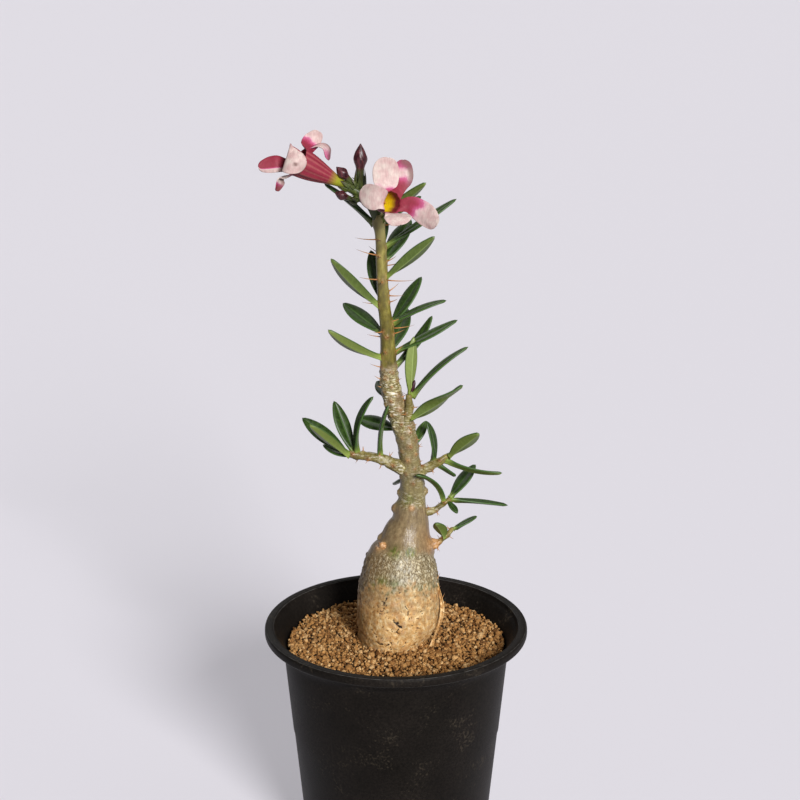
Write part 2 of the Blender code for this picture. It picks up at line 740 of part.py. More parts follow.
def build_stem(collection):
    """The caudex and main stem with its spur, its own leaves and its thorns."""
    stem = tube("caudex_and_stem", STEM, STEM_SIDES, collection, "bark")
    raise_bark(stem, BARK_UNEVENNESS)
    repeats = new_collection("stem_repeats")
    tube("peel", smooth_line(PEEL_LINE, BRANCH_STEP), 6, repeats, "bark")
    spur = smooth_line(SPUR_LINE, BRANCH_STEP)
    tube("spur", spur, BRANCH_SIDES, repeats, "bark")
    for i, values in enumerate(STEM_LEAVES):
        leaf(f"stem_leaf_{i}", at_height(STEM, values[0] * MM), values, repeats)
    for i, values in enumerate(SPUR_LEAVES):
        leaf(f"spur_leaf_{i}", at_share(spur, values[0]), values, repeats)
    number = 0
    height = FIRST_THORN_HEIGHT
    while height < STEM[-1].z - 2 * MM:
        age = (height - FIRST_THORN_HEIGHT) / (YOUNG_THORN_HEIGHT - FIRST_THORN_HEIGHT)
        length = THORN_LENGTH * min(1, OLD_THORN_SHARE + (1 - OLD_THORN_SHARE) * age)
        thorn_pair(f"thorn_{number}", at_height(STEM, height), number * GOLDEN_ANGLE, length, repeats)
        height += THORN_SPACING
        number += 1
    fuse(stem, repeats)


def build_branches(collection, stem_room):
    """The side branches, each with its leaves and short thorns, cut back to just off the stem's bark."""
    for name, line in BRANCH_LINES.items():
        samples = smooth_line(line, BRANCH_STEP)
        branch = tube(name, samples, BRANCH_SIDES, collection, "bark")
        repeats = new_collection(name + "_repeats")
        for i, values in enumerate(BRANCH_LEAVES[name]):
            leaf(f"{name}_leaf_{i}", at_share(samples, values[0]), values, repeats)
        for i in range(BRANCH_THORN_PAIRS):
            place = at_share(samples, 0.5 + 0.45 * i / BRANCH_THORN_PAIRS)
            thorn_pair(f"{name}_thorn_{i}", place, i * GOLDEN_ANGLE, BRANCH_THORN_LENGTH, repeats)
        fuse(branch, repeats)
        cut(branch, stem_room)


def sepals(name, base, axis, radius, length, collection):
    """Pointed sepals that hug a tube or a bud from its base."""
    right = Vector((0, 0, 1)).cross(axis).normalized()
    up = axis.cross(right)
    for i in range(SEPALS):
        angle = math.tau * i / SEPALS + SEPAL_TURN
        out = right * math.cos(angle) + up * math.sin(angle)
        rows = []
        for t in (0, 0.5, 1):
            middle = base + axis * (length * t - SEPAL_ROOT) + out * radius
            rows.append((middle, axis.cross(out) * radius * SEPAL_WIDTH / 2 * (1 - t**2), -out))
        ribbon(f"{name}_{i}", rows, 0.2, SEPAL_THICKNESS, collection, "stalk")


def inside_sepals(name):
    """Where a flower or bud starts, where it points, and how thick it is there, in metres."""
    if name in FLOWERS:
        base, end = FLOWERS[name]
        radius = TUBE_OUTSIDE[1][1]
    else:
        base, end, radius = BUDS[name]
        radius *= BUD_NECK
    return Vector(base) * MM, Vector(end) * MM, radius * MM


def turned_between(name, base, end, outline, sides, collection, finish):
    """A turned solid on the axis from a base to an end, with its outline's heights counted from the base."""
    made = turned(name, outline, sides, collection, finish)
    turn = Vector((0, 0, 1)).rotation_difference(end - base).to_matrix().to_4x4()
    made.data.transform(Matrix.Translation(base) @ turn)
    return made


def held_solid(name, held, margin, collection, finish):
    """The bud or the outside of the flower's tube that the sepals hold, grown all round by a margin."""
    base, end, _ = inside_sepals(held)
    length = (end - base).length
    if held in FLOWERS:
        sides = TUBE_SIDES
        outline = [(radius * MM, share * length) for share, radius in TUBE_OUTSIDE]
    else:
        sides = BUD_SIDES
        outline = [(wide * BUDS[held][2] * MM, GAP + share * (length - GAP)) for share, wide in BUD_OUTLINE]
        outline.append((0, length))
    outline = [(radius + margin, height) for radius, height in outline]
    outline = [(0, outline[0][1] - margin), (outline[0][0], outline[0][1] - margin)] + outline[1:]
    if outline[-1][0] > margin:
        outline.append((0, outline[-1][1]))
    else:
        outline[-1] = (0, length + margin)
    return turned_between(name, base, end, outline, sides, collection, finish)


def build_stalk(collection, stem_room):
    """The green stalk on top of the stem, with its forks and the sepals that hold the flowers and buds."""
    stalk = tube("flower_stalk", smooth_line(STALK_LINE, BRANCH_STEP), STALK_SIDES, collection, "stalk")
    repeats = new_collection("stalk_repeats")
    for name, line in STALK_FORKS.items():
        base, end, radius = inside_sepals(name)
        around = radius + GAP + SEPAL_THICKNESS / 2
        axis = (end - base).normalized()
        fork = smooth_line((*line, (*((base + axis * CUP_DEPTH) / MM), around / MM)), BRANCH_STEP)
        tube(f"{name}_fork", fork, STALK_SIDES, repeats, "stalk")
        sepals(f"{name}_sepal", base, axis, around, SEPAL_LENGTHS[name], repeats)
    fuse(stalk, repeats)
    cut(stalk, stem_room)
    for name in STALK_FORKS:
        room = held_solid(name + "_room", name, SEPAL_GAP, HELPERS, "stalk")
        cut(stalk, room)
        bpy.data.objects.remove(room)
    drop_scraps(stalk)


def lobe_width(t):
    """A lobe's width at a share of its length: a broad foot, widest past the middle, and a rounded end."""
    return (0.5 + 0.5 * math.sin(math.pi * min(1, t + 0.1) / 1.3)) * (1 - t**5) ** 0.6


def lobe(name, mouth, axis, values, collection):
    """One lobe of a flower: a blade from the tube's rim along its own middle line, with its rows closer
    together at the round end."""
    line, width, compass, rise, fold = values
    side = Vector(line[0])
    side = (side - axis * side.dot(axis)).normalized()
    rim = side * (TUBE_OUTSIDE[-1][1] + TUBE_INSIDE[0][1]) / 2 - axis * LOBE_ROOT / MM
    samples = smooth_line((rim, *line[1:]), 0.5 * MM)
    widthways = direction(math.radians(compass), math.radians(rise))
    rows = []
    for i in range(LOBE_ROWS + 1):
        t = math.sin(math.pi / 2 * i / LOBE_ROWS)
        ahead = (at_share(samples, min(1, t + 0.05)) - at_share(samples, max(0, t - 0.05))).normalized()
        across = (widthways - ahead * widthways.dot(ahead)).normalized()
        half = width / 2 * MM * lobe_width(t)
        rows.append((mouth + at_share(samples, t), across * half, across.cross(ahead)))
    ribbon(name, rows, fold, LOBE_THICKNESS, collection, "petal")


def build_flowers(collection):
    """Each open flower: a hollow funnel with five lobes round its mouth."""
    for name in FLOWERS:
        base, mouth, _ = inside_sepals(name)
        length = (mouth - base).length
        outline = [(radius * MM, share * length) for share, radius in TUBE_OUTSIDE + TUBE_INSIDE]
        outline = [(0, outline[0][1])] + outline + [(0, outline[-1][1])]
        flower = turned_between(name, base, mouth, outline, TUBE_SIDES, collection, "petal")
        repeats = new_collection(name + "_lobes")
        for i, values in enumerate(LOBES[name]):
            lobe(f"{name}_lobe_{i}", mouth, (mouth - base).normalized(), values, repeats)
        fuse(flower, repeats)


def build_buds(collection):
    """Each bud: spindle-shaped, standing just off its stalk."""
    for name in BUDS:
        held_solid(name, name, 0, collection, "bud")


clear_scene()
random.seed(7)
STEM = smooth_line(STEM_LINE, STEM_STEP)
PLANT = new_collection("potted_pachypodium")
HELPERS = new_collection("helpers")
ABOVE_SOIL = [Vector((*s.xyz, s.w * (1 + BARK_UNEVENNESS) + GAP)) for s in STEM if s.z > 110 * MM]
ABOVE_SOIL[-1].z += GAP
STEM_ROOM = tube("stem_room", ABOVE_SOIL, STEM_SIDES, HELPERS, "bark")
raise_bark(STEM_ROOM, 0)
hide(STEM_ROOM)

build_pot(PLANT)
build_soil(PLANT)
build_stem(PLANT)
build_branches(PLANT, STEM_ROOM)
build_stalk(PLANT, STEM_ROOM)
build_flowers(PLANT)
build_buds(PLANT)
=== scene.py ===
# %% [markdown]
# # A pachypodium in flower
#
# This lesson dresses a potted pachypodium: a desert succulent that stores water in a swollen
# caudex, carries thorns in pairs and opens pink flowers at the top of its stem. Three kinds of
# surface meet on it, and each needs its own tools: moulded plastic, loose clay grit, and living
# tissue that goes from corky and tan at the soil to waxy and green at the tip.
#
# The solids of the part are loaded first. They are plain but have the right places and sizes,
# so each finer piece below follows the same middle lines and then takes a solid's place.

import math
import random
from itertools import product

import bpy
import numpy as np
from mathutils import Matrix, Vector, noise


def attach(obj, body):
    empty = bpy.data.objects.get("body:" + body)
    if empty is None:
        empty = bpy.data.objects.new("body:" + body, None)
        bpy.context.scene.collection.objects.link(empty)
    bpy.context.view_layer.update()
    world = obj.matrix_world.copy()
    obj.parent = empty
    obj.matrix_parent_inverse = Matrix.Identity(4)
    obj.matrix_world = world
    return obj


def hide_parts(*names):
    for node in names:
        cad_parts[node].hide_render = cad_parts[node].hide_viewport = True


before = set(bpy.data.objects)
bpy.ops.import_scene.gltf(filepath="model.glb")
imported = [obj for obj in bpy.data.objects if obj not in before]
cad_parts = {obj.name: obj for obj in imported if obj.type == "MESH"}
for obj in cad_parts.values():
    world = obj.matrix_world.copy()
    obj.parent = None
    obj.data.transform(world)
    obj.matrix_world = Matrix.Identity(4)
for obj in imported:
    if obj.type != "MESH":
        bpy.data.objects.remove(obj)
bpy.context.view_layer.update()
print("solids:", ", ".join(sorted(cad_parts)))

# %% [markdown]
# ## Camera and light
#
# The plant is seen from a little above with a long lens, from almost a metre away. A lens of
# 112 mm on a 36 mm sensor gives that flat, calm perspective.
#
# The light is a window's: one soft source, a little right of the viewer, so the caudex is brightest
# just right of its middle and falls off to a quarter at its left edge. Two weaker ones keep the
# right and the back readable. Far lights (the SUN kind) shine as strongly on the floor behind as on
# the plant, which keeps the background even.

# %% Camera and light
MM = 0.001
random.seed(11)
scene = bpy.context.scene
scene.view_settings.view_transform = "Standard"


def link(obj):
    """Puts an object into the scene."""
    scene.collection.objects.link(obj)
    return obj


def direction(compass, rise):
    """A unit vector, from a compass angle counted from +X and a rise, both in radians."""
    return Vector((math.cos(compass) * math.cos(rise), math.sin(compass) * math.cos(rise), math.sin(rise)))


lens = bpy.data.cameras.new("camera")
lens.sensor_width = 36
lens.lens = 112.3
viewer = link(bpy.data.objects.new("camera", lens))
viewer.location = (1.6 * MM, -915.9 * MM, 505.6 * MM)
viewer.rotation_euler = (math.radians(71.02), 0, 0)
scene.camera = viewer

# Lights far away, as (compass, rise, width in degrees, strength). 270 is straight in front.
LIGHTS = {
    "window": (291, 26, 18, 4.4),
    "right_fill": (350, 40, 50, 0.2),
    "behind": (110, 46, 60, 1.1),
}
for name, (compass, rise, width, strength) in LIGHTS.items():
    lamp = bpy.data.lights.new(name, "SUN")
    lamp.angle = math.radians(width)
    lamp.energy = strength
    towards = direction(math.radians(compass), math.radians(rise))
    link(bpy.data.objects.new(name, lamp)).rotation_euler = towards.to_track_quat("Z", "Y").to_euler()
print("camera and", len(LIGHTS), "lights")

# %% [markdown]
# ## Colours and nodes
#
# Colours are written as sRGB hex values, as a colour picker shows them, but a shader works with
# linear light. One function turns one into the other, and a second one adds a node with its
# settings and links. An input may also be the name of a value that the mesh carries.
#
# A finish here is a first colour with layers over it, as on the real thing: dust on plastic, moss on
# bark. Each layer follows a pattern, and a pattern's scale is worked out from the real size of one
# of its lumps in millimetres.

# %% Colours and nodes
SHARE, UNDER, OVER, MIXED = 0, 6, 7, 2  # sockets of a colour Mix node
RANGE = ("Value", "From Min", "From Max", "To Min", "To Max")
SHADE = "shade"  # a layer that darkens or lightens what is under it


def linear(colour):
    """An sRGB hex colour, such as "#b98a55", as linear red, green, blue and alpha."""
    shares = [int(colour[i : i + 2], 16) / 255 for i in (1, 3, 5)]
    return (*(c / 12.92 if c <= 0.04045 else ((c + 0.055) / 1.055) ** 2.4 for c in shares), 1)


def add_node(tree, kind, inputs=None, stops=(), give=0, **settings):
    """Adds a node and gives one of its outputs. An input is a number, a hex colour, another node's
    output or the name of a value of the mesh. Stops are the places and colours of a ramp."""
    made = tree.nodes.new("ShaderNode" + kind)
    for key, value in settings.items():
        setattr(made, key, value)
    for key, value in (inputs or {}).items():
        if isinstance(value, str) and value[0] != "#":
            value = add_node(tree, "Attribute", give="Fac", attribute_name=value)
        if isinstance(value, bpy.types.NodeSocket):
            tree.links.new(value, made.inputs[key])
        else:
            made.inputs[key].default_value = linear(value) if isinstance(value, str) else value
    for i, (place, colour) in enumerate(stops):
        ramp = made.color_ramp.elements
        stop = ramp[i] if i < 2 else ramp.new(place)
        stop.position = place
        stop.color = linear(colour)
    return made.outputs[give]


def new_finish(name, sockets):
    """A new material: its tree, and the place of each point of the piece."""
    made = bpy.data.materials.new(name)
    made.use_nodes = True
    for key, value in sockets.items():
        made.node_tree.nodes["Principled BSDF"].inputs[key].default_value = value
    return made.node_tree, add_node(made.node_tree, "TexCoord", give="Object")


def lumpy(tree, place, across, up=None, detail=4.0):
    """A pattern of soft lumps, so many mm across and up."""
    scale = [1 / (size * MM) for size in (across, across, up or across)]
    scaled = add_node(tree, "Mapping", {"Vector": place, "Scale": scale})
    return add_node(tree, "TexNoise", {"Vector": scaled, "Scale": 1.0, "Detail": detail})


def layered(tree, colour, *layers):
    """Lays colours over the first one. A layer is (pattern, low, high, first, last, colour): its
    share runs from first to last where the pattern runs from low to high."""
    for *shown, over in layers:
        share = add_node(tree, "MapRange", dict(zip(RANGE, shown)))
        if over == SHADE:
            inputs, blend = {SHARE: 1.0, UNDER: colour, OVER: share}, "MULTIPLY"
        else:
            inputs, blend = {SHARE: share, UNDER: colour, OVER: over}, "MIX"
        colour = add_node(tree, "Mix", inputs, give=MIXED, data_type="RGBA", blend_type=blend)
    return colour


def surface(tree, colour, rough=None, relief=None, strength=1.0, depth=0.1):
    """Joins the colour to the shader, with a roughness that is a pattern and its range, and with a
    relief of so many mm."""
    sockets = {"Base Color": colour}
    if rough:
        sockets["Roughness"] = add_node(tree, "MapRange", dict(zip(RANGE, rough)))
    if relief:
        bumps = {"Height": relief, "Strength": strength, "Distance": depth * MM}
        sockets["Normal"] = add_node(tree, "Bump", bumps)
    for key, output in sockets.items():
        tree.links.new(output, tree.nodes["Principled BSDF"].inputs[key])


print("#808080 in linear light:", round(linear("#808080")[0], 3))

# %% [markdown]
# ## Floor and sky
#
# The floor is painted board, matt and pale. It is a large disc, because from this height it fills
# the whole background. It glows a little, as a backdrop lit on its own does, so the plant's shadow
# stays soft. The sky stays dim, or the black pot would turn grey.

# %% Floor and sky
FLOOR_RADIUS = 40
FLOOR_SIDES = 96
backdrop = {"Roughness": 0.9, "Base Color": linear("#bab7bd"), "Emission Color": linear("#e2dfe6")}
new_finish("backdrop_paint", {**backdrop, "Emission Strength": 0.33})
rim = [direction(math.tau * i / FLOOR_SIDES, 0) * FLOOR_RADIUS for i in range(FLOOR_SIDES)]
floor_mesh = bpy.data.meshes.new("floor")
floor_mesh.from_pydata(rim, [], [list(range(FLOOR_SIDES))])
floor_mesh.materials.append(bpy.data.materials["backdrop_paint"])
floor = link(bpy.data.objects.new("floor", floor_mesh))
floor.visible_diffuse = False  # a bright floor all round would light the plant from below
scene.world = bpy.data.worlds.new("studio")
scene.world.use_nodes = True
sky = scene.world.node_tree.nodes["Background"].inputs
sky["Color"].default_value = linear("#dddbe3")
sky["Strength"].default_value = 0.09
print("floor and sky")

# %% [markdown]
# ## Growing points and faces
#
# Everything on this plant repeats with small changes, so it is grown from lists of points. A
# Growth gathers points, faces and named values, such as how corky the bark is at each point.
# Those values travel with the mesh as attributes, and the materials read them. That is how the
# shader knows the upper side of a leaf from its underside, without any picture.

# %% Growing points and faces
class Growth:
    """Points, faces and named values that become one piece."""

    def __init__(self):
        self.points = []
        self.faces = []
        self.finishes = []
        self.values = {}

    def add(self, points, faces, finish=0, **values):
        """More points, faces that count from their first one, and values with a number per point."""
        start = len(self.points)
        self.points += [tuple(point) for point in points]
        self.faces += [[start + i for i in face] for face in faces]
        self.finishes += [finish] * len(faces)
        for name, numbers in values.items():
            known = self.values.setdefault(name, [])
            known += [0.0] * (start - len(known)) + [float(number) for number in numbers]

    def piece(self, name, finishes, slot, *replaced):
        """The grown piece, riding with the pot, in place of the solids that are named."""
        mesh = bpy.data.meshes.new(name)
        mesh.from_pydata(self.points, [], self.faces)
        for key, numbers in self.values.items():
            numbers += [0.0] * (len(self.points) - len(numbers))
            mesh.attributes.new(key, "FLOAT", "POINT").data.foreach_set("value", numbers)
        for finish in finishes:
            mesh.materials.append(bpy.data.materials[finish])
        mesh.polygons.foreach_set("material_index", self.finishes)
        mesh.shade_smooth()
        made = link(bpy.data.objects.new(name, mesh))
        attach(made, "root")
        if replaced:
            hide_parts(*replaced)
        print(f"{name}: {len(self.points)} points, {len(self.faces)} faces")
        return made


def quads(rows, columns, closed=True):
    """Faces between rows of points. A closed row joins its last point to its first."""
    faces = []
    for i in range(rows - 1):
        low, high = i * columns, (i + 1) * columns
        for j in range(columns if closed else columns - 1):
            k = (j + 1) % columns
            faces.append((low + j, low + k, high + k, high + j))
    return faces


def capped(rows, columns):
    """The quads of a closed tube whose two end points follow its rings."""
    first, last = rows * columns, (rows - 1) * columns
    foot = [((j + 1) % columns, j, first) for j in range(columns)]
    tip = [(last + j, last + (j + 1) % columns, first + 1) for j in range(columns)]
    return quads(rows, columns) + foot + tip


print("a tube of two square rings has", len(capped(2, 4)), "faces")

# %% [markdown]
# ## Lines and rings
#
# Stems, stalks and thorns are all tubes along a line. A few points in mm give the line, a smooth
# curve runs through them, and each sample of it carries a radius as its fourth number. Rings of
# points round the samples then make the tube.

# %% Lines and rings
def smooth_line(points, step):
    """A Catmull-Rom curve through points in mm, as samples in metres about a step apart."""
    samples = []
    last = len(points) - 1
    for i in range(last):
        p0, p1, p2, p3 = (Vector(points[min(max(j, 0), last)]) for j in (i - 1, i, i + 1, i + 2))
        pieces = max(1, round((p2.xyz - p1.xyz).length * MM / step))
        for k in range(pieces):
            t = k / pieces
            straight = 2 * p1 + (p2 - p0) * t
            bend = (2 * p0 - 5 * p1 + 4 * p2 - p3) * t**2 + (3 * p1 - p0 - 3 * p2 + p3) * t**3
            samples.append((straight + bend) / 2 * MM)
    samples.append(Vector(points[-1]) * MM)
    return samples


def at_share(samples, share):
    """The line's own point and radius at a share of its length."""
    place = min(max(share, 0), 1) * (len(samples) - 1)
    first = min(int(place), len(samples) - 2)
    return samples[first].lerp(samples[first + 1], place - first)


def soft_step(value, low, high):
    """0 below low and 1 above high, with a smooth way between, for numbers and arrays."""
    share = np.clip((value - low) / (high - low), 0, 1)
    return share * share * (3 - 2 * share)


def rings_along(samples, sides):
    """Rings of points round a line of (x, y, z, radius) samples, each square to the line."""
    side = None
    points = []
    for i, sample in enumerate(samples):
        ahead = samples[min(i + 1, len(samples) - 1)].xyz - samples[max(i - 1, 0)].xyz
        ahead.normalize()
        side = side or ahead.orthogonal()
        side = (side - ahead * side.dot(ahead)).normalized()
        up = ahead.cross(side)
        for k in range(sides):
            angle = math.tau * k / sides
            points.append(sample.xyz + (side * math.cos(angle) + up * math.sin(angle)) * sample.w)
    return points


print("a soft step a quarter of the way up:", soft_step(0.25, 0, 1))

# %% [markdown]
# ## The pot's plastic
#
# The pot is polypropylene, injection moulded and then used: near black, matt, with a fine grain
# from the mould and a little dust that has dried on. Plastic's IOR is 1.49. The mould's grain is
# about a third of a millimetre, which is just fine enough to break up the highlights on the lip.

# %% The pot's plastic
tree, place = new_finish("moulded_polypropylene", {"IOR": 1.49, "Specular IOR Level": 0.07})
cloud = lumpy(tree, place, 22, detail=3)
dusty = {0: lumpy(tree, place, 1.1, detail=5), 1: lumpy(tree, place, 14, detail=2)}
rubbed_and_highlit = {0: "edge", 1: lumpy(tree, place, 3, 1)}
body = layered(
    tree,
    add_node(tree, "ValToRGB", {"Fac": cloud}, ((0.3, "#13100d"), (0.7, "#1e1a17"))),
    (lumpy(tree, place, 0.9), 0.3, 0.7, 0.6, 1.4, SHADE),
    (add_node(tree, "Math", dusty, operation="MULTIPLY"), 0.32, 0.5, 0, 0.5, "#564d41"),
    # paler bead edges: partly rubbed plastic, partly painted highlight lines
    (add_node(tree, "Math", rubbed_and_highlit, operation="MULTIPLY"), 0.2, 0.6, 0, 0.75, "#5c5a58"),
)
surface(tree, body, (cloud, 0, 1, 0.42, 0.6), lumpy(tree, place, 0.35, detail=2), 0.45, 0.12)
print("plastic of the pot")

# %% [markdown]
# ## The pot
#
# Such a pot is one turned wall: a rolled bead, a flare that widens to the rim, a tapered wall
# with a shallow step where stacked pots catch, and a foot ring. In Blender a turned shape is a
# profile and a Screw modifier, or, as here, the same profile set round a circle in rings. That
# gives a closed tube of an outline, because the profile goes down the outside and up the inside.
# The drain holes and the notches under the foot are then cut with Boolean modifiers.

# %% The pot's profile
POT_SIDES = 192
CAD_POT_SIDES = 48
POT_HEIGHT = 96
RIM_RADIUS = 52.499
RIM_BEAD = 2
BEAD_SQUARENESS = 0.62
RUBBED_AND_HIGHLIT_EDGES = (130, 50, -40)  # where the bead is rubbed paler and carries painted highlight lines, in degrees round its section
WALL_TOP_RADIUS = 44.6
WALL_TOP_HEIGHT = 82
WALL = 1.4
STEP_HEIGHT = 51
STEP_DEPTH = 0.4
STEP_SLOPE = 0.6
FOOT_RADIUS = 36.3
FOOT_CHAMFER = 0.8
FOOT_RING_WIDTH = 3
FLOOR_HEIGHT = 2
DRAIN_RADIUS = 6
SIDE_DRAIN_RADIUS = 3
SIDE_DRAIN_CIRCLE = 22
SIDE_DRAINS = 6
FOOT_NOTCH = 7


def wall_radius(height):
    """The pot's outer radius in mm below its step, where the wall is straight."""
    return FOOT_RADIUS + (WALL_TOP_RADIUS - STEP_DEPTH - FOOT_RADIUS) / WALL_TOP_HEIGHT * height


def curved(points, step=0.35):
    """A smooth curve through (radius, height) points, about a step in mm apart."""
    line = smooth_line([(radius, height, 0, 0) for radius, height in points], step * MM)
    return [(sample.x / MM, sample.y / MM) for sample in line]


step_radius = wall_radius(STEP_HEIGHT)
bead = []
rubbed_and_highlit_edges = []
for degrees in range(160, -101, -10):
    angle = math.radians(degrees)
    shares = (math.cos(angle), math.sin(angle))
    out, up = (math.copysign(abs(share) ** BEAD_SQUARENESS, share) for share in shares)
    bead.append((RIM_RADIUS - RIM_BEAD + RIM_BEAD * out, POT_HEIGHT - RIM_BEAD + RIM_BEAD * up))
    rubbed_and_highlit_edges.append(1.0 if degrees in RUBBED_AND_HIGHLIT_EDGES else 0.0)
flare_outside = curved(((48.0, 90.4), (46.7, 88.9), (45.7, 87.8), (45.0, 85.6), (44.6, 82)))
flare_inside = curved(((43.2, 82), (43.9, 86.4), (44.8, 89.2), (46.6, 92.4), (48.0, 94.2)))
profile = (
    bead
    + flare_outside
    + [
        (step_radius + STEP_DEPTH, STEP_HEIGHT + STEP_SLOPE),
        (step_radius, STEP_HEIGHT - STEP_SLOPE),
        (FOOT_RADIUS, FOOT_CHAMFER),
        (FOOT_RADIUS - FOOT_CHAMFER, 0),
        (FOOT_RADIUS - FOOT_RING_WIDTH, 0),
        (FOOT_RADIUS - FOOT_RING_WIDTH, FLOOR_HEIGHT),
        (DRAIN_RADIUS, FLOOR_HEIGHT),
        (DRAIN_RADIUS, FLOOR_HEIGHT + WALL),
        (FOOT_RADIUS - 2 * WALL, FLOOR_HEIGHT + WALL),
        (FOOT_RADIUS - WALL, FLOOR_HEIGHT + 2.6 * WALL),
        (step_radius - WALL, STEP_HEIGHT - STEP_SLOPE),
    ]
    + flare_inside
)
print("profile of", len(profile), "points, with", len(RUBBED_AND_HIGHLIT_EDGES), "rubbed edges")

# %% [markdown]
# ## Turning and drilling the pot
#
# The profile's rings become the wall, and the bead's edges are marked for the plastic, which paints
# them paler: partly rubbed by other pots, partly painted highlight lines. Each cutter is a plain
# closed shape that is removed again once its cut is applied.

# %% Turning and drilling the pot
DRAIN_SIDES = 32
BOX_FACES = [(0, 1, 3, 2), (4, 6, 7, 5), (0, 4, 5, 1), (2, 3, 7, 6), (0, 2, 6, 4), (1, 5, 7, 3)]
pot = Growth()
wall_points = []
for radius, height in profile:
    for i in range(POT_SIDES):
        angle = math.tau * i / POT_SIDES
        wall_points.append(Vector((radius * math.cos(angle), radius * math.sin(angle), height)) * MM)
around = len(profile)
wall_faces = []
for i in range(around):
    low, high = i * POT_SIDES, (i + 1) % around * POT_SIDES
    for j in range(POT_SIDES):
        k = (j + 1) % POT_SIDES
        wall_faces.append((low + j, high + j, high + k, low + k))
rubbed_and_highlit_edges += [0.0] * (around - len(rubbed_and_highlit_edges))
pot.add(wall_points, wall_faces, edge=[edge for edge in rubbed_and_highlit_edges for _ in range(POT_SIDES)])
pot_shell = pot.piece("pot_shell", ["moulded_polypropylene"], "black_plastic", "pot")


def cut_away(obj, points, faces):
    """Cuts a closed helper shape from obj."""
    mesh = bpy.data.meshes.new("cutter")
    mesh.from_pydata(points, [], faces)
    cutter = link(bpy.data.objects.new("cutter", mesh))
    bpy.context.view_layer.update()
    boolean = obj.modifiers.new("cut", "BOOLEAN")
    boolean.operation = "DIFFERENCE"
    boolean.object = cutter
    graph = bpy.context.evaluated_depsgraph_get()
    obj.data = bpy.data.meshes.new_from_object(obj.evaluated_get(graph))
    obj.modifiers.clear()
    bpy.data.objects.remove(cutter)


half_facet = math.tau * 0.5 / CAD_POT_SIDES
for i in range(SIDE_DRAINS):
    angle = math.tau * i / SIDE_DRAINS + half_facet
    middle = direction(angle, 0) * SIDE_DRAIN_CIRCLE * MM
    heights = (FLOOR_HEIGHT - 1, FLOOR_HEIGHT + WALL + 1)
    rod = [Vector((*middle.xy, height * MM, SIDE_DRAIN_RADIUS * MM)) for height in heights]
    points = rings_along(rod, DRAIN_SIDES) + [rod[0].xyz, rod[1].xyz]
    cut_away(pot_shell, points, capped(2, DRAIN_SIDES))
for i in range(2):
    turn = Matrix.Rotation(math.tau * i / 4 + half_facet, 3, "Z")
    corners = []
    for x, y, z in product((-1, 1), repeat=3):
        corner = Vector((x * 1.5 * FOOT_RADIUS, y * FOOT_NOTCH / 2, z * FLOOR_HEIGHT / 2))
        corners.append(turn @ corner * MM)
    cut_away(pot_shell, corners, BOX_FACES)
pot_shell.data.set_sharp_from_angle(angle=math.radians(50))
print("drain holes and notches cut:", len(pot_shell.data.polygons), "faces")

# %% [markdown]
# ## Clay grit
#
# The pot is filled with fired clay grit, crushed and sieved to about 1.5 mm: rough matt grains
# with no gloss at all, from pale straw to burnt orange. A bump map can't give the dark gaps
# between grains, so they are real: thousands of small lumpy balls, each one of a few shapes that
# is turned, stretched and scaled at random. Random Per Island then gives each its own tint.
#
# Below them lies the plain solid, painted in the dark shade that the gaps show.

# %% Clay grit
GRAIN_TINTS = (
    (0.0, "#5f3b18"),
    (1.0, "#7c5229"),
    (0.16, "#8b6034"),
    (0.45, "#a57642"),
    (0.75, "#b98b54"),
    (0.92, "#d3ac78"),
)
tree, place = new_finish("fired_clay_grit", {"Roughness": 0.95, "Specular IOR Level": 0.2})
island = add_node(tree, "NewGeometry", give="Random Per Island")
tint = add_node(tree, "ValToRGB", {"Fac": island}, GRAIN_TINTS)
pores = lumpy(tree, place, 0.5, detail=3)
surface(tree, layered(tree, tint, (pores, 0.35, 0.6, 0.5, 1.05, SHADE)), relief=pores, depth=0.25)

tree, place = new_finish("grit_in_shade", {"Roughness": 0.95, "Specular IOR Level": 0.1})
shaded = add_node(tree, "ValToRGB", {"Fac": lumpy(tree, place, 1.5)}, ((0.3, "#140c05"), (0.7, "#33200f")))
surface(tree, shaded)
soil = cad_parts["soil"]
soil.data.materials.clear()
soil.data.materials.append(bpy.data.materials["grit_in_shade"])
print("grit in", len(GRAIN_TINTS), "tints")

# %% [markdown]
# ## One grain
#
# A grain is a ball of 26 points, four rings of six and two ends, pushed in and out by noise. That
# is plenty for a grain that is four pixels wide.

# %% One grain
GRAIN_SHAPES = 9


def lumpy_ball(seed):
    """A ball of 26 points, four rings of six and two ends, with its surface pushed in and out."""
    rings = 5
    points = [Vector((0, 0, 1))]
    for i in range(1, rings):
        for k in range(6):
            angle = math.tau * (k + 0.5 * (i % 2)) / 6
            points.append(direction(angle, math.pi / 2 - math.pi * i / rings))
    points.append(Vector((0, 0, -1)))
    faces = [(0, 1 + k, 1 + (k + 1) % 6) for k in range(6)]
    for i in range(rings - 2):
        low, high = 1 + 6 * (i + 1), 1 + 6 * i
        for k in range(6):
            n = (k + 1) % 6
            if i % 2 == 0:
                faces += [(high + k, low + k, low + n), (high + k, low + n, high + n)]
            else:
                faces += [(high + k, low + k, high + n), (high + n, low + k, low + n)]
    last = len(points) - 1
    faces += [(last, last - 6 + (k + 1) % 6, last - 6 + k) for k in range(6)]
    own = Vector((seed * 7, 0, 0))
    return [point * (1 + 0.5 * noise.noise(point * 1.4 + own)) for point in points], faces


shapes = [lumpy_ball(i) for i in range(GRAIN_SHAPES)]
grain_faces = np.array(shapes[0][1])
print(len(shapes), "shapes of grain, each with", len(grain_faces), "faces")

# %% [markdown]
# ## Scattering the grit
#
# The grains lie in rows that are shifted by half a grain, as on a hexagon grid that is shaken
# about, with more thrown on top. The bed rises a little towards the caudex. Two pieces share the
# grains, so that neither has too many faces.

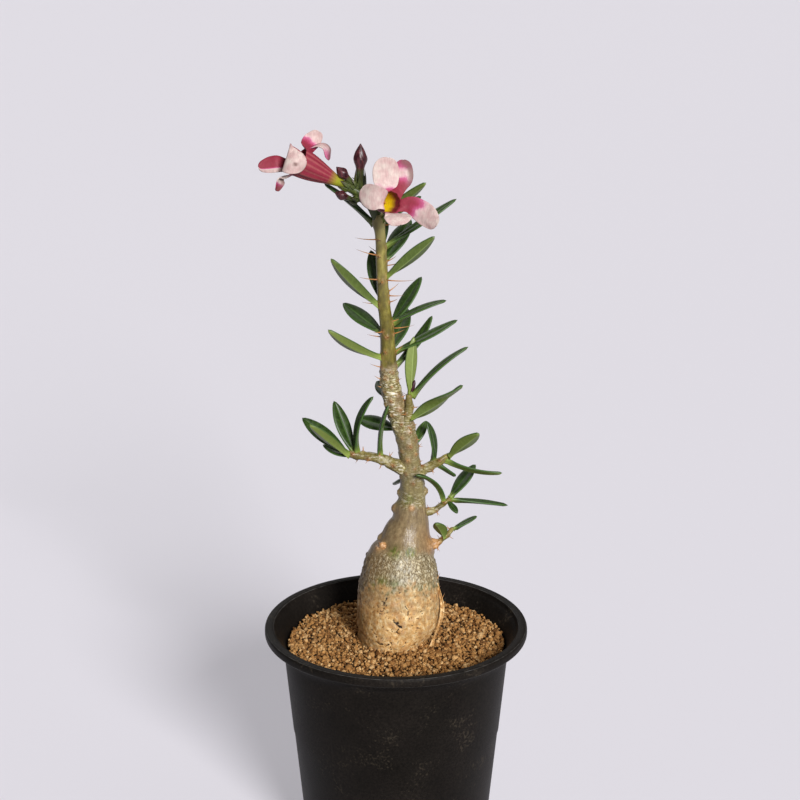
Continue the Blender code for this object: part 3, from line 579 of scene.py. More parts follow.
# %% Scattering the grit
GRAIN_SPACING = 1.14
ROW_SPACING = GRAIN_SPACING * 0.87
GRAIN_RADIUS = 0.62
GRIT_EDGE = 43.4
GRIT_HEIGHT = 87.9
GRIT_HEAP = 1.6
CAUDEX_FOOT = (-1.9, 13.4)  # the caudex's middle and radius in mm, where it meets the grit
LUMPS = ((-18.7, -27.1), (28, -25), (-30, -8), (8, -38), (-12, 33), (24, 26), (34, 4))  # large grains
LUMP_SIZE = 2.4
LUMP_LIFT = 0.6
EXTRA_GRAINS = 2900
EXTRA_LIFT = 0.7
places = []
for row in range(int(2 * GRIT_EDGE / ROW_SPACING)):
    y = -GRIT_EDGE + row * ROW_SPACING
    for column in range(int(2 * GRIT_EDGE / GRAIN_SPACING)):
        x = -GRIT_EDGE + (column + 0.5 * (row % 2)) * GRAIN_SPACING
        places.append((x, y, 0.0))
places += [(*lump, LUMP_LIFT) for lump in LUMPS]
for _ in range(EXTRA_GRAINS):
    places.append((random.uniform(-GRIT_EDGE, GRIT_EDGE), random.uniform(-GRIT_EDGE, GRIT_EDGE), EXTRA_LIFT))
grit_points, grit_faces = [], []
for x, y, lift in places:
    size = GRAIN_RADIUS * (LUMP_SIZE if (x, y) in LUMPS else random.lognormvariate(0, 0.3))
    x += random.gauss(0, 0.3)
    y += random.gauss(0, 0.3)
    from_caudex = math.hypot(x - CAUDEX_FOOT[0], y) - CAUDEX_FOOT[1]
    if math.hypot(x, y) + size > GRIT_EDGE + 0.3 or from_caudex < 0.2 * size:
        continue
    near = 1 - from_caudex / (GRIT_EDGE - CAUDEX_FOOT[1])
    z = GRIT_HEIGHT + GRIT_HEAP * max(near, 0) ** 2 + lift + random.uniform(-0.55, 0.5)
    angle = random.uniform(0, math.tau)
    turn = Matrix.Rotation(angle, 3, direction(random.uniform(0, 6), random.uniform(-1, 1)))
    stretch = Vector((size, size * random.uniform(0.75, 1.1), size * random.uniform(0.65, 1)))
    shape = random.choice(shapes)[0]
    start = len(grit_points)
    grit_points += [tuple((Vector((x, y, z)) + turn @ (p * stretch)) * MM) for p in shape]
    grit_faces.append(grain_faces + start)
grain_count = len(grit_faces)
per_grain = len(shapes[0][0])
share = -(-grain_count // 2)
for half in range(2):
    grains = Growth()
    count = min(share, grain_count - half * share)
    first = half * share * per_grain
    grains.add(
        grit_points[first : first + count * per_grain],
        (grain_faces[None] + (np.arange(count) * per_grain)[:, None, None]).reshape(-1, 3).tolist(),
    )
    grains.piece(f"grit_{half}", ["fired_clay_grit"], "clay_grit")
print(grain_count, "grains")

# %% [markdown]
# ## Bark of every age
#
# A stem shows its whole life from bottom to top. The foot of the caudex was once buried and is tan
# and corky, with cracks. Above it the skin stretches into a fine upright net, then comes the
# smooth neck. The trunk is flaky and covered in leaf scars, and the last part is still a green
# skin that takes in light itself.
#
# One material covers all of it. Each age and blemish has a value on the mesh that says where it
# is, the size of its lumps across and up in mm, and colours from its hollows to its ridges. A loop
# lays one over the next. The waxy bloom with a painted highlight on its front, painted light on the
# top of the stem, painted shade down the left side, stains and cracks come last.

# %% Bark of every age
SOFT_STOPS = (0.32, 0.5, 0.68)
LINED_STOPS = (0.32, 0.455, 0.5, 0.545, 0.68)  # the darkest colour is a thin line between two pale ones
AGES = (
    ("neck", 1.2, 3.4, ("#735e42", "#837051", "#95805e")),
    ("ruddy", 0.7, 3.0, ("#80623f", "#92724f", "#a4845d")),
    ("netted", 0.8, 2.0, ("#c9bc9d", "#978562", "#423419", "#86734e", "#d0c6aa")),
    ("mossy", 0.7, 1.6, ("#454a1a", "#626829", "#878748")),
    ("corky", 1.3, 1.7, ("#b4824a", "#d6ab70", "#f0d6a6")),
    ("flaky", 2.2, 0.8, ("#f0e9d8", "#a99a68", "#3f3018", "#93874f", "#dcd2ae")),
    ("young", 2.0, 5.0, ("#514819", "#6f6427", "#948a43")),
    ("scar", 0.6, 0.6, ("#5d3a1c", "#96683c", "#c79a70")),
    ("cushion", 0.9, 1.2, ("#94673a", "#b78856", "#cfa77e")),
)
tree, place = new_finish("pachypodium_bark", {"IOR": 1.45})
pores = lumpy(tree, place, 0.45, 0.6, 6)
clusters = lumpy(tree, place, 4.5, 4.5, 2)
skin = None
for age, across, up, colours in AGES:
    grain = lumpy(tree, place, across, up)
    stops = tuple(zip(SOFT_STOPS if len(colours) == 3 else LINED_STOPS, colours))
    shade = add_node(tree, "ValToRGB", {"Fac": grain}, stops)
    skin = layered(tree, skin, (age, 0, 1, 0, 1, shade)) if skin else shade
    if age == "corky":
        cork_grain = grain
stains = add_node(tree, "MapRange", dict(zip(RANGE, (lumpy(tree, place, 2.6, 3.4), 0.55, 0.63, 0, 0.5))))
holes = add_node(tree, "MapRange", dict(zip(RANGE, (lumpy(tree, place, 0.9, 0.9, 1), 0.66, 0.7, 0, 1))))
crowded = add_node(tree, "MapRange", dict(zip(RANGE, (clusters, 0.4, 0.55, 0, 1))))
pin_holes = add_node(tree, "Math", {0: holes, 1: crowded}, operation="MULTIPLY")
skin = layered(
    tree,
    skin,
    (clusters, 0.3, 0.7, 0.78, 1.12, SHADE),
    (pores, 0.3, 0.7, 0.84, 1.13, SHADE),
    (add_node(tree, "Math", {0: stains, 1: "corky"}, operation="MULTIPLY"), 0, 1, 0, 1, "#9d6438"),
    # pale waxy bloom on the net, partly a painted highlight at the front
    ("bloom", 0, 1, 0, 1, "#e9e4d6"),
    # painted light on the top of the stem, where the flowers shade it
    ("bleached", 0, 1, 0, 1, "#d3c583"),
    # painted shade down the left side of the cork and net, away from the window light
    ("stained", 0, 1, 0, 1, "#6f4a20"),
    (add_node(tree, "Math", {0: pin_holes, 1: "corky"}, operation="MULTIPLY"), 0, 1, 0, 1, "#54311a"),
    ("crack", 0.45, 0.7, 0, 1, "#20130b"),
)
relief = add_node(tree, "Math", {0: pores, 1: cork_grain}, operation="ADD")
strength = add_node(tree, "MapRange", dict(zip(RANGE, ("smooth", 0, 1, 0.85, 0.35))))
surface(tree, skin, ("smooth", 0, 1, 0.8, 0.34), relief, strength, 0.3)
print("bark of", len(AGES), "kinds")

# %% [markdown]
# ## Caudex and stem
#
# A stem is a tube along a line. The line, the knobs where branches have dropped, the moss and the
# cracks of the front are read off the photo, as heights and as compass angles round the stem.
# 270 degrees is the front and 0 the right.

# %% Caudex and stem
# The stem's middle line, as (x, y, height, radius) in mm. The lines of other parts are written alike.
STEM_LINE = (
    (-1.8, 0.0, 62.0, 3.5),
    (-1.8, 0.0, 69.0, 9.0),
    (-1.6, 0.0, 79.0, 12.4),
    (-1.1, 0.0, 88.5, 14.0),
    (-0.1, 0.0, 94.0, 15.7),
    (1.0, 0.0, 103.0, 16.7),
    (1.3, 0.0, 111.0, 16.2),
    (1.7, 0.0, 118.5, 15.2),
    (2.7, 0.0, 124.5, 13.7),
    (3.9, 0.1, 129.5, 11.2),
    (4.4, 0.2, 134.5, 9.6),
    (5.6, 0.3, 140.0, 7.4),
    (5.9, 0.4, 145.5, 6.3),
    (6.4, 0.5, 150.0, 5.2),
    (6.3, 0.5, 157.5, 4.6),
    (5.3, 0.5, 166.0, 4.0),
    (4.3, 0.4, 174.0, 4.1),
    (2.0, 0.3, 182.5, 4.3),
    (-0.8, 0.2, 190.5, 4.0),
    (-2.4, 0.0, 199.0, 3.6),
    (-2.9, 0.0, 207.0, 3.1),
    (-3.4, 0.0, 219.0, 2.7),
    (-4.7, 0.0, 231.0, 2.3),
    (-5.3, 0.0, 243.0, 2.2),
    (-5.8, 0.0, 255.0, 2.0),
    (-6.5, 0.0, 262.0, 2.3),
    (-6.9, 0.0, 265.0, 2.1),
)
# Where branches have dropped, as (height, compass, radius, how far it stands out) in mm and degrees.
# The cushions are orange, and the knobs have the colour of the bark round them.
CUSHIONS = ((130.6, 206, 2.4, 1.2), (147.7, 270, 1.1, 0.5), (132.0, 338, 3.0, 1.0))
KNOBS = (
    (126.0, 186, 1.1, 1.0),
    (133.3, 182, 1.6, 1.8),
    (145.7, 184, 1.8, 1.9),
    (152.1, 180, 1.5, 1.5),
    (152.6, 0, 1.5, 1.9),
    (127.5, 356, 1.2, 0.8),
    (157.0, 95, 1.8, 1.3),
    (139.0, 60, 2.2, 1.5),
    (129.0, 110, 2.2, 1.5),
)
# Patches of moss, and the netted skin's pale waxy bloom, partly a painted highlight at the front,
# as (height, compass, radius).
MOSS = (
    (130.4, 246, 2.6),
    (131.0, 278, 2.2),
    (118.6, 240, 3.2),
    (116.4, 228, 2.4),
    (119.4, 262, 1.8),
    (151.0, 250, 2.6),
    (121.0, 120, 3.0),
    (124.0, 60, 3.0),
)
BLOOM_AND_PAINTED_HIGHLIGHT = ((126.0, 272, 4.0), (121.0, 276, 4.5), (116.5, 268, 3.5))
# Cracks in the cork at the front: a width in mm, and places as (x, height) in mm.
CRACKS = (
    (0.85, ((-1.2, 104.8), (0.2, 103.2), (1.4, 103.3))),
    (0.85, ((0.6, 102.6), (2.4, 101.4))),
    (0.6, ((0.9, 101.0), (0.4, 99.4), (1.2, 98.6))),
    (0.55, ((-3.6, 113.6), (-4.8, 111.0), (-4.7, 108.6))),
    (0.6, ((-8.0, 94.2), (-6.6, 93.3), (-4.8, 93.6))),
    (0.5, ((-3.6, 93.2), (-1.8, 94.2))),
    (0.45, ((3.6, 110.4), (5.0, 108.6), (4.6, 106.4))),
    (0.45, ((9.6, 107.8), (10.6, 106.0))),
)
STEM_SIDES = 188
STEM_STEP = 0.5 * MM
STEM = smooth_line(STEM_LINE, STEM_STEP)
print("stem:", len(STEM), "rings of", STEM_SIDES, "points")


def stem_at(height):
    """The stem's own point and radius at a height in mm."""
    for low, high in zip(STEM, STEM[1:]):
        if low.z <= height * MM <= high.z:
            return low.lerp(high, (height * MM - low.z) / (high.z - low.z))
    return STEM[-1]


def on_stem(height, compass, share=1.0):
    """The place on the stem's skin at a height in mm and a compass angle in degrees."""
    middle = stem_at(height)
    return middle.xyz + direction(math.radians(compass), 0) * middle.w * share


# %% [markdown]
# ## Relief of the bark
#
# The relief is real, so that the silhouette shows it, and it is worked out for all points at once
# with NumPy, or it would take minutes. Each helper below takes the points and gives a number for
# each: noise, how much of it is a bump, or how near a crack it lies. A bump has a dimple in its
# middle, where a leaf's veins once entered. A crack is 1 at its middle and 0 at its width, and the
# material cuts it off sharply, so it stays crisp between the points.

# %% Relief helpers
def noise_at(points, across, up=None):
    """Noise at each point, with lumps so many mm across and up."""
    scale = np.array((1 / across, 1 / across, 1 / (up or across))) / MM
    return np.array([noise.noise(point) for point in points * scale])


def bump_shares(points, bumps):
    """How much of each point belongs to a bump, and how far out the bumps push it, in mm."""
    share = np.zeros(len(points))
    out = np.zeros(len(points))
    for centre, radius, height in bumps:
        far = ((points - np.array(centre)) ** 2).sum(axis=1) / (radius * MM) ** 2
        near = np.exp(-1.3 * far)
        share = np.maximum(share, near)
        out = np.maximum(out, height * (near - 0.45 * np.exp(-9 * far)))
    return share, out


def crack_share(points):
    """1 on a crack and less away from it, down to 0 at its width, for points on the front."""
    share = np.zeros(len(points))
    x, z = points[:, 0] / MM, points[:, 2] / MM
    for width, crack in CRACKS:
        for (x0, z0), (x1, z1) in zip(crack, crack[1:]):
            long = (x1 - x0) ** 2 + (z1 - z0) ** 2
            t = np.clip(((x - x0) * (x1 - x0) + (z - z0) * (z1 - z0)) / long, 0, 1)
            gap = np.hypot(x - x0 - t * (x1 - x0), z - z0 - t * (z1 - z0))
            share = np.maximum(share, 1 - gap / width)
    return np.where(points[:, 1] < 0, np.clip(share + 0.6 * noise_at(points, 0.9), 0, 1) * (share > 0), 0)


def band(value, first, second, soft):
    """1 between two heights and 0 outside, with soft edges."""
    return soft_step(value, first - soft, first + soft) * (1 - soft_step(value, second - soft, second + soft))


def bark_skin(growth, samples, sides, relief):
    """Adds a closed tube along the samples. Its relief says, for the points and the directions out of
    the bark, how far each point stands out in mm, and the values that go with it."""
    around = rings_along(samples, sides)
    points = np.array(around + [samples[0].xyz, samples[-1].xyz])
    middles = np.repeat([sample.xyz for sample in samples], sides, axis=0)
    outward = points[:-2] - middles
    outward /= np.linalg.norm(outward, axis=1)[:, None]
    lift, values = relief(points[:-2], outward)
    points[:-2] += outward * lift[:, None] * MM
    values = {key: [*numbers, numbers[0], numbers[-1]] for key, numbers in values.items()}
    growth.add(points.tolist(), capped(len(samples), sides), **values)


print("cracks:", len(CRACKS))

# %% [markdown]
# ## Where each age of bark lies
#
# Heights are bent by noise and by which way the skin looks, so that no border is a level ring. The
# relief then adds up what belongs to each age: sheets and pits in the cork, upright ridges in the
# net, plates that lift on the trunk, and almost nothing on the neck and the green part.
#
# Leaf scars follow the golden angle, 137.5 degrees from one to the next, which is how the plant
# itself spaces its leaves. They are bumps, as the knobs are.

# %% Ages of the stem
# Between these heights in mm one age of bark gives way to the next.
CORK_ENDS = (109.0, 113.0)
NET_ENDS = (125, 127.5)
GREEN_BEGINS = (204, 207.5)
GOLDEN_ANGLE = 137.5
FIRST_SCAR = 156
SCAR_SPACING = 0.72
SCAR_COUNT = 70
stem_heights = [sample.z / MM for sample in STEM]
stem_radii = [sample.w / MM for sample in STEM]
stem_bumps = [(on_stem(height, compass), radius, out) for height, compass, radius, out in CUSHIONS + KNOBS]
SCARS = []
for i in range(SCAR_COUNT):
    SCARS.append((FIRST_SCAR + SCAR_SPACING * i, i * GOLDEN_ANGLE, random.uniform(0.8, 1.6)))
stem_bumps += [(on_stem(height, turn), size, 0.4 * size) for height, turn, size in SCARS]


def stem_relief(points, outward):
    """How far each point of the stem stands out, in mm, and how much of each age it has."""
    height = points[:, 2] / MM
    front = np.maximum(0, -outward[:, 1])
    wander = noise_at(points, 5)
    ragged = noise_at(points, 1.7)
    fine = noise_at(points, 0.8, 1.6)
    level = height - 6.5 * front - 4.5 * wander - 4 * ragged - 3 * fine
    corky = 1 - soft_step(level, *CORK_ENDS)
    netted = (1 - corky) * (1 - soft_step(height - 4.5 * front - 2 * wander - 1.5 * fine, *NET_ENDS))
    young = soft_step(height + 4 * ragged, *GREEN_BEGINS)
    flaky = band(height + 1.5 * ragged, 147.3, 153.6, 1.0) * 0.35
    loose = 0.35 + 0.65 * soft_step(wander + ragged, -0.2, 0.3)
    flaky = np.maximum(flaky, band(height + 3 * wander, 176, 205, 3) * loose)
    flaky = np.maximum(flaky, band(height, 194, 203, 2))
    flaky = np.maximum(flaky, 0.22 * band(height + 3 * wander, 156, 178, 2)) * (1 - young)
    neck = np.clip(1 - corky - netted - flaky - young, 0, 1)
    scarred, out = bump_shares(points, stem_bumps)
    cushion, _ = bump_shares(points, stem_bumps[: len(CUSHIONS)])
    mossy, _ = bump_shares(points, [(on_stem(z, turn), radius, 0) for z, turn, radius in MOSS])
    bloom, _ = bump_shares(points, [(on_stem(z, turn), radius, 0) for z, turn, radius in BLOOM_AND_PAINTED_HIGHLIGHT])
    cracked = crack_share(points) * corky
    ridges = np.abs(noise_at(points, 1.0, 2.6))
    net = np.abs(noise_at(points, 0.8, 1.1))
    sheets = soft_step(noise_at(points, 6), 0.05, 0.12)
    folds = np.abs(noise_at(points, 4.5, 2.2))
    pits = soft_step(noise_at(points, 0.7) + 0.25 * soft_step(noise_at(points, 7), 0, 0.4), 0.48, 0.6)
    lift = 0.03 * np.interp(height, stem_heights, stem_radii) * noise_at(points, 9)
    cork_lift = 0.22 * sheets + 0.16 * ragged + 0.1 * fine
    lift += corky * (cork_lift - 0.3 * (1 - soft_step(folds, 0, 0.06)) * sheets)
    lift += netted * (0.6 * ridges + 0.5 * net - 0.26)
    plates = noise_at(points, 2.2, 0.75)
    lift += flaky * (0.36 * plates * soft_step(height, 150, 165) + 0.2 * fine + 0.12 * ragged)
    lift += neck * (0.07 * noise_at(points, 1.6, 5) + 0.05 * fine)
    lift += out - 0.5 * soft_step(cracked, 0.4, 0.8) - 0.2 * pits * corky
    tucked = (1 - soft_step(height, 86, 99)) * soft_step(outward[:, 0] - 0.3 * outward[:, 1], 0.2, 0.95)
    lift -= 2.6 * tucked
    creases = (1 - soft_step(folds, 0, 0.05)) * sheets * 0.62
    splits = (1 - soft_step(np.abs(plates + 0.1), 0, 0.09)) * flaky * 0.75
    sill = band(height - 5 * front - 2 * wander, 110, 114, 1.5) * (1 - corky) * 0.3
    washed = band(height - 4 * front + 4 * outward[:, 0] - 3 * wander, 103, 120, 3)
    tea = corky * washed * (0.55 + 1.2 * ragged)
    ruddy = neck * band(height, 126, 139, 5) * (0.1 + 0.9 * np.maximum(0, outward[:, 0]) ** 2)
    sill = np.maximum(sill, 0.3 * band(height, 148, 178, 1.5))
    return lift, {
        # painted light: the stem is lightened towards its top, under the flowers' shadow
        "bleached": 0.12 * soft_step(height, 225, 240) + 0.6 * soft_step(height, 252, 260),
        # painted shade: cork and net darker towards the left, the side away from the key light
        "stained": (0.45 * corky + 0.4 * netted) * soft_step(-outward[:, 0], 0.1, 0.9),
        "ruddy": np.clip(ruddy, 0, 1),
        "netted": np.clip(netted + 0.5 * np.clip(tea, 0, 1), 0, 1),
        "mossy": np.clip(np.maximum(mossy * (1.1 + 1.6 * fine), sill), 0, 0.9) * (1 - corky),
        # the pale bloom is partly a painted highlight where the window light strikes the front
        "bloom": netted * np.clip(bloom * (0.16 + 0.7 * fine), 0, 0.32),
        "corky": corky * (1 - 0.55 * np.clip(tea, 0, 1)),
        "flaky": flaky,
        "young": np.maximum(young, 0.3 * flaky * (height > 160) * np.maximum(0, outward[:, 0])),
        "scar": scarred * np.where(young > 0.5, 0.85, 0.6) * (1 - corky) * (height > 140),
        "cushion": cushion,
        "crack": np.maximum(np.maximum(cracked, splits), np.maximum(creases, 0.8 * pits) * corky),
        "smooth": np.clip(neck + young + 0.6 * netted + 0.6 * flaky + 0.6 * corky, 0, 1),
    }


print("leaf scars:", len(SCARS))

# %% [markdown]
# ## Leaves
#
# The leaves are thick and a little waxy, dark green above and much lighter below, with rolled
# margins and a pale midrib that is a groove above and a keel below. Each is a closed blade: rings
# of points that run over the upper side and back under the lower one. Points are closer together
# at the midrib and margins, where the shape changes fastest.
#
# Every leaf of the photo has its row here, so each points the way it does there.

# %% Leaves
# Leaves as (place, compass, rise, length, width, bend, roll, twist, lightness), in mm and degrees. The
# place is a height on the main stem, and elsewhere a share of the branch's length. The rise is that of
# the line from base to tip. A roll turns the blade about its midrib, and a twist turns the tip further.
STEM_LEAVES = (
    (261.0, 172, 38, 24.5, 4.6, -8, 0, 0, 0.1),
    (263.0, 322, 40, 27.5, 5.4, 0, -20, 0, 0.6),
    (261.5, 41, 19, 21.0, 5.0, 0, 0, 0, 0.3),
    (252.0, 11, 32, 33.0, 4.6, 4, 10, 0, 0.3),
    (250.0, 88, 52, 19.0, 4.6, -10, 0, 0, 0.1),
    (245.5, 49, 42, 21.0, 7.6, 0, 0, 0, 0.2),
    (240.5, 337, 42, 27.0, 5.4, 8, -44, 0, 0.3),
    (229.5, 112, 56, 21.5, 6.0, 0, 0, 0, 0.0),
    (229.0, 189, 46, 27.0, 5.8, 22, 46, 0, 0.4),
    (221.5, 3, 23, 23.0, 4.6, -16, 6, 0, 0.3),
    (220.5, 36, 49, 22.5, 6.6, 6, 0, 0, 0.1),
    (217.0, 141, 23, 22.0, 6.8, 6, -12, 0, 0.0),
    (210.0, 7, 26, 27.5, 5.0, 8, 12, 0, 0.3),
    (209.5, 66, 38, 21.0, 6.6, 0, 0, 0, 0.1),
    (208.5, 199, 31, 25.5, 5.4, 34, 42, 0, 1.0),
    (204.0, 29, 47, 24.5, 5.6, 34, 0, 0, 0.3),
    (189.0, 115, 17, 14.0, 5.0, 0, -10, 0, 0.0),
    (183.5, 108, 40, 15.0, 4.6, 10, 0, 0, 0.2),
    (177.5, 144, 2, 20.0, 5.6, 0, -38, 0, 0.1),
    (170.0, 52, 46, 12.0, 4.0, 0, 0, 0, 0.8),
    (157.0, 117, -30, 14.0, 4.0, 0, -20, 0, 0.2),
)
SPUR_LEAVES = (
    (0.97, 62, 82, 23.0, 4.8, -6, -120, 0, 1.0),
    (0.92, 8, 41, 29.5, 4.8, -22, 0, 0, 0.4),
    (0.95, 20, 75, 6.5, 1.8, 0, 0, 0, -1.0),
    (0.40, 341, 37, 26.5, 7.6, 8, -74, 84, 0.5),
)
BRANCH_LEAVES = {
    "branch_left": (
        (0.98, 156, 31, 23.0, 6.2, 6, -26, 0, 0.1),
        (0.93, 204, 42, 22.5, 5.4, 10, 34, 0, 1.0),
        (0.78, 160, 10, 15.0, 4.6, 42, -10, 0, 0.0),
        (0.88, 131, 58, 22.5, 6.2, 6, 0, 0, 0.1),
        (0.90, 351, 75, 25.5, 5.0, -48, 26, 0, 0.2),
        (0.52, 340, 80, 23.0, 4.6, -26, 24, 0, 0.2),
    ),
    "branch_right_upper": (
        (0.66, 175, 80, 17.5, 4.4, -36, -22, 0, 0.2),
        (0.97, 320, 41, 19.5, 6.2, 0, -34, 0, 0.6),
        (0.84, 345, -9, 23.0, 4.6, 40, -26, 0, 0.5),
        (0.62, 29, -40, 11.0, 3.4, 10, 0, 0, 0.1),
    ),
    "branch_right_middle": (
        (0.98, 38, 41, 17.0, 6.2, 0, 0, 0, 0.2),
        (0.84, 212, 46, 19.5, 4.0, -62, 0, 0, 0.2),
        (0.93, 10, -10, 24.0, 3.6, -4, 0, 0, 0.2),
        (0.88, 308, -28, 7.0, 2.8, 0, 0, 0, 0.2),
    ),
    "branch_right_lower": (
        (0.97, 23, 20, 11.0, 3.2, 10, 0, 0, 0.2),
        (0.70, 234, 52, 10.0, 4.8, -20, 20, 0, 0.5),
    ),
}
print("leaves:", len(STEM_LEAVES) + len(SPUR_LEAVES) + sum(map(len, BRANCH_LEAVES.values())))

# %% [markdown]
# ## Shape of a leaf
#
# A blade is used for leaves, sepals and the strip of skin. Every point carries where it lies across
# and along the blade and whether it looks up, so the material can draw the midrib, the side veins
# and the two greens exactly where they belong.

# %% Shape of a leaf
LEAF_ACROSS = (-1, -0.94, -0.8, -0.58, -0.34, -0.13, 0, 0.13, 0.34, 0.58, 0.8, 0.94, 1)
LEAF_RING = [(u, 1) for u in LEAF_ACROSS] + [(u, 0) for u in LEAF_ACROSS[-2:0:-1]]
LEAF_ROWS = 26
LEAF_THICKNESS = 1.3
LEAF_FULLNESS = 1.16
LEAF_FOLD = 0.24  # how far the two halves rise from the midrib, as a share of the half width
MARGIN_ROLL = 0.12
MIDRIB_WIDTH = 0.13


def blade(growth, rows, fold, thickness, **values):
    """A closed blade from rows of (middle, half its width, the way its upper side looks)."""
    points, across, along, upper = [], [], [], []
    for i, (middle, halfway, face) in enumerate(rows):
        half = halfway.length
        t = i / (len(rows) - 1)
        thick = thickness * MM * min(1, half / (0.8 * MM)) * (1 + 0.7 * (1 - t) ** 6)
        for u, over in LEAF_RING:
            lift = fold * abs(u) * half - MARGIN_ROLL * half * u**6
            lift += thick / 2 * math.sqrt(1 - u * u) * (1 if over else -1)
            lift -= thick * (0.2 if over else 0.35 * (1 - t)) * math.exp(-((u / MIDRIB_WIDTH) ** 2))
            points.append(middle + halfway * u + face * lift)
            across.append(u)
            along.append(t)
            upper.append(over if abs(u) < 1 else 0.5)
    points += [rows[0][0], rows[-1][0]]
    values = {key: [number] * len(points) for key, number in values.items()}
    values |= {"across": across + [0, 0], "along": along + [0, 1], "upper": upper + [0.5, 0.5]}
    growth.add(points, capped(len(rows), len(LEAF_RING)), **values)


def leaf_width(t):
    """The blade's width at a share of its length: a narrow stalk, widest past the middle, and a point."""
    return LEAF_FULLNESS * max(0.3 * (1 - t), math.sin(math.pi * t**1.18) ** 0.7)


def leaf(growth, stem_middle, values):
    """A blade along an arc, folded a little at its midrib, with its base sunk into the stem."""
    _, compass, rise, length, width, bend, roll, twist, tone = values
    compass, rise, bend, roll, twist = (math.radians(angle) for angle in (compass, rise, bend, roll, twist))
    middle = stem_middle.xyz + direction(compass, 0) * (stem_middle.w - 0.7 * MM)
    arc = length * MM / LEAF_ROWS
    if bend:
        arc *= (bend / 2) / math.sin(bend / 2)
    rows = []
    for i in range(LEAF_ROWS + 1):
        t = i / LEAF_ROWS
        pitch = rise + bend * (t - 0.5)
        turn = Matrix.Rotation(roll + twist * t, 3, direction(compass, pitch))
        half = width / 2 * MM * max(leaf_width(t), 0.02)
        across = Vector((math.sin(compass), -math.cos(compass), 0)) * half
        rows.append((middle, turn @ across, turn @ direction(compass, pitch + math.pi / 2)))
        middle = middle + direction(compass, pitch + bend / 2 / LEAF_ROWS) * arc
    blade(growth, rows, LEAF_FOLD, LEAF_THICKNESS, tone=tone)


print("a leaf has", LEAF_ROWS + 1, "rows of", len(LEAF_RING), "points")

# %% [markdown]
# ## The leaf's wax and greens
#
# The side veins leave the midrib at a slant, so their wave counts along the leaf less some of the
# way across it. Each side has two greens that mottle, a lighter one for leaves turned to the light,
# and colours for veins, margin and midrib. A wax coat lies over all.

# %% Leaf finish
VEINS = 46.0  # half waves from base to tip
VEIN_SLANT = -3.4
# Below and above: two greens, how much the lit green covers, that green, veins, margin and midrib.
LEAF_GREENS = (
    ("#4a5c26", "#5c6d31", 0.7, "#839148", "#8aa45c", "#2c461b", "#9cae6a"),
    ("#20330f", "#314718", 0.75, "#50692a", "#55702f", "#47652d", "#48652f"),
)
wax = {"Specular IOR Level": 0.35, "Coat Weight": 0.12, "Coat Roughness": 0.28, "Coat IOR": 1.45}
tree, place = new_finish("waxy_leaf", {"IOR": 1.45, **wax})
aside = add_node(tree, "Math", {0: "across"}, operation="ABSOLUTE")
mottle = lumpy(tree, place, 1.6)
counted = add_node(tree, "Math", {0: "along", 1: VEINS}, operation="MULTIPLY")
slanted = add_node(tree, "Math", {0: aside, 1: VEIN_SLANT, 2: counted}, operation="MULTIPLY_ADD")
wave = add_node(tree, "Math", {0: slanted, 1: 2.0}, operation="PINGPONG")
veins = add_node(tree, "MapRange", dict(zip(RANGE, (wave, 0, 0.35, 0.22, 0))))
below, above = (
    layered(
        tree,
        add_node(tree, "ValToRGB", {"Fac": mottle}, ((0.35, dark), (0.65, light))),
        ("tone", 0.2, 1, 0, lit_share, lit),
        (veins, 0, 1, 0, 1, vein),
        (aside, 0.84, 0.96, 0, 0.8, margin),
        (aside, 0.03, 0.1, 0.75, 0, rib),
    )
    for dark, light, lit_share, lit, vein, margin, rib in LEAF_GREENS
)
green = layered(
    tree,
    below,
    ("upper", 0.4, 0.6, 0, 1, above),
    ("along", 0.02, 0.16, 0.8, 0, "#8c9c45"),
    ("tone", -0.6, -0.2, 1, 0, "#3b1220"),
)
ridges = add_node(tree, "Math", {0: veins, 1: -1.0, 2: mottle}, operation="MULTIPLY_ADD")
surface(tree, green, (mottle, 0.3, 0.7, 0.36, 0.48), ridges, 0.4, 0.15)
print("leaf wax over", len(LEAF_GREENS), "sides")

# %% [markdown]
# ## Thorns
#
# A pachypodium's thorns are hardened stipules: two grow at the foot of each leaf and stay after the
# leaf has dropped. On the green stem they are up to 11 mm long and as thin as a needle, orange-brown
# with a grey tip. On the old wood only worn stubs are left. Each is a narrow cone that bends a
# little upwards.
#
# The thorns at the front are listed one by one, and those at the back grow in pairs under leaves.

# %% Thorns
# Thorns as (height, compass of the root, compass of the tip, rise, length) in mm and degrees.
THORNS = (
    (255.4, 226, 181, 1, 8.6),
    (255.4, 226, 292, 4, 5.0),
    (249.2, 222, 182, 13, 8.8),
    (249.0, 232, 285, 2, 4.6),
    (246.4, 350, 338, 30, 5.0),
    (239.6, 224, 178, 3, 7.6),
    (239.4, 320, 356, -3, 11.0),
    (239.0, 270, 262, -2, 3.6),
    (234.4, 0, 22, 30, 5.4),
    (233.0, 346, 350, 0, 6.2),
    (230.4, 340, 330, 22, 4.4),
    (229.9, 205, 182, 2, 6.6),
    (222.6, 350, 352, 20, 4.0),
    (219.0, 232, 218, 2, 4.8),
    (217.8, 336, 350, 20, 5.2),
    (217.0, 262, 300, 4, 2.6),
    (210.2, 350, 354, 40, 5.0),
    (211.0, 250, 262, 0, 2.4),
    (204.4, 208, 182, 14, 4.8),
    (203.0, 280, 262, 0, 2.0),
    (199.4, 200, 186, 24, 3.4),
    (196.0, 196, 184, 18, 2.4),
    (192.0, 340, 352, 34, 2.6),
    (131.6, 200, 196, 58, 2.0),
)
THORN_RINGS = 6
THORN_SIDES = 6
THORN_BEND = 8  # degrees from root to tip


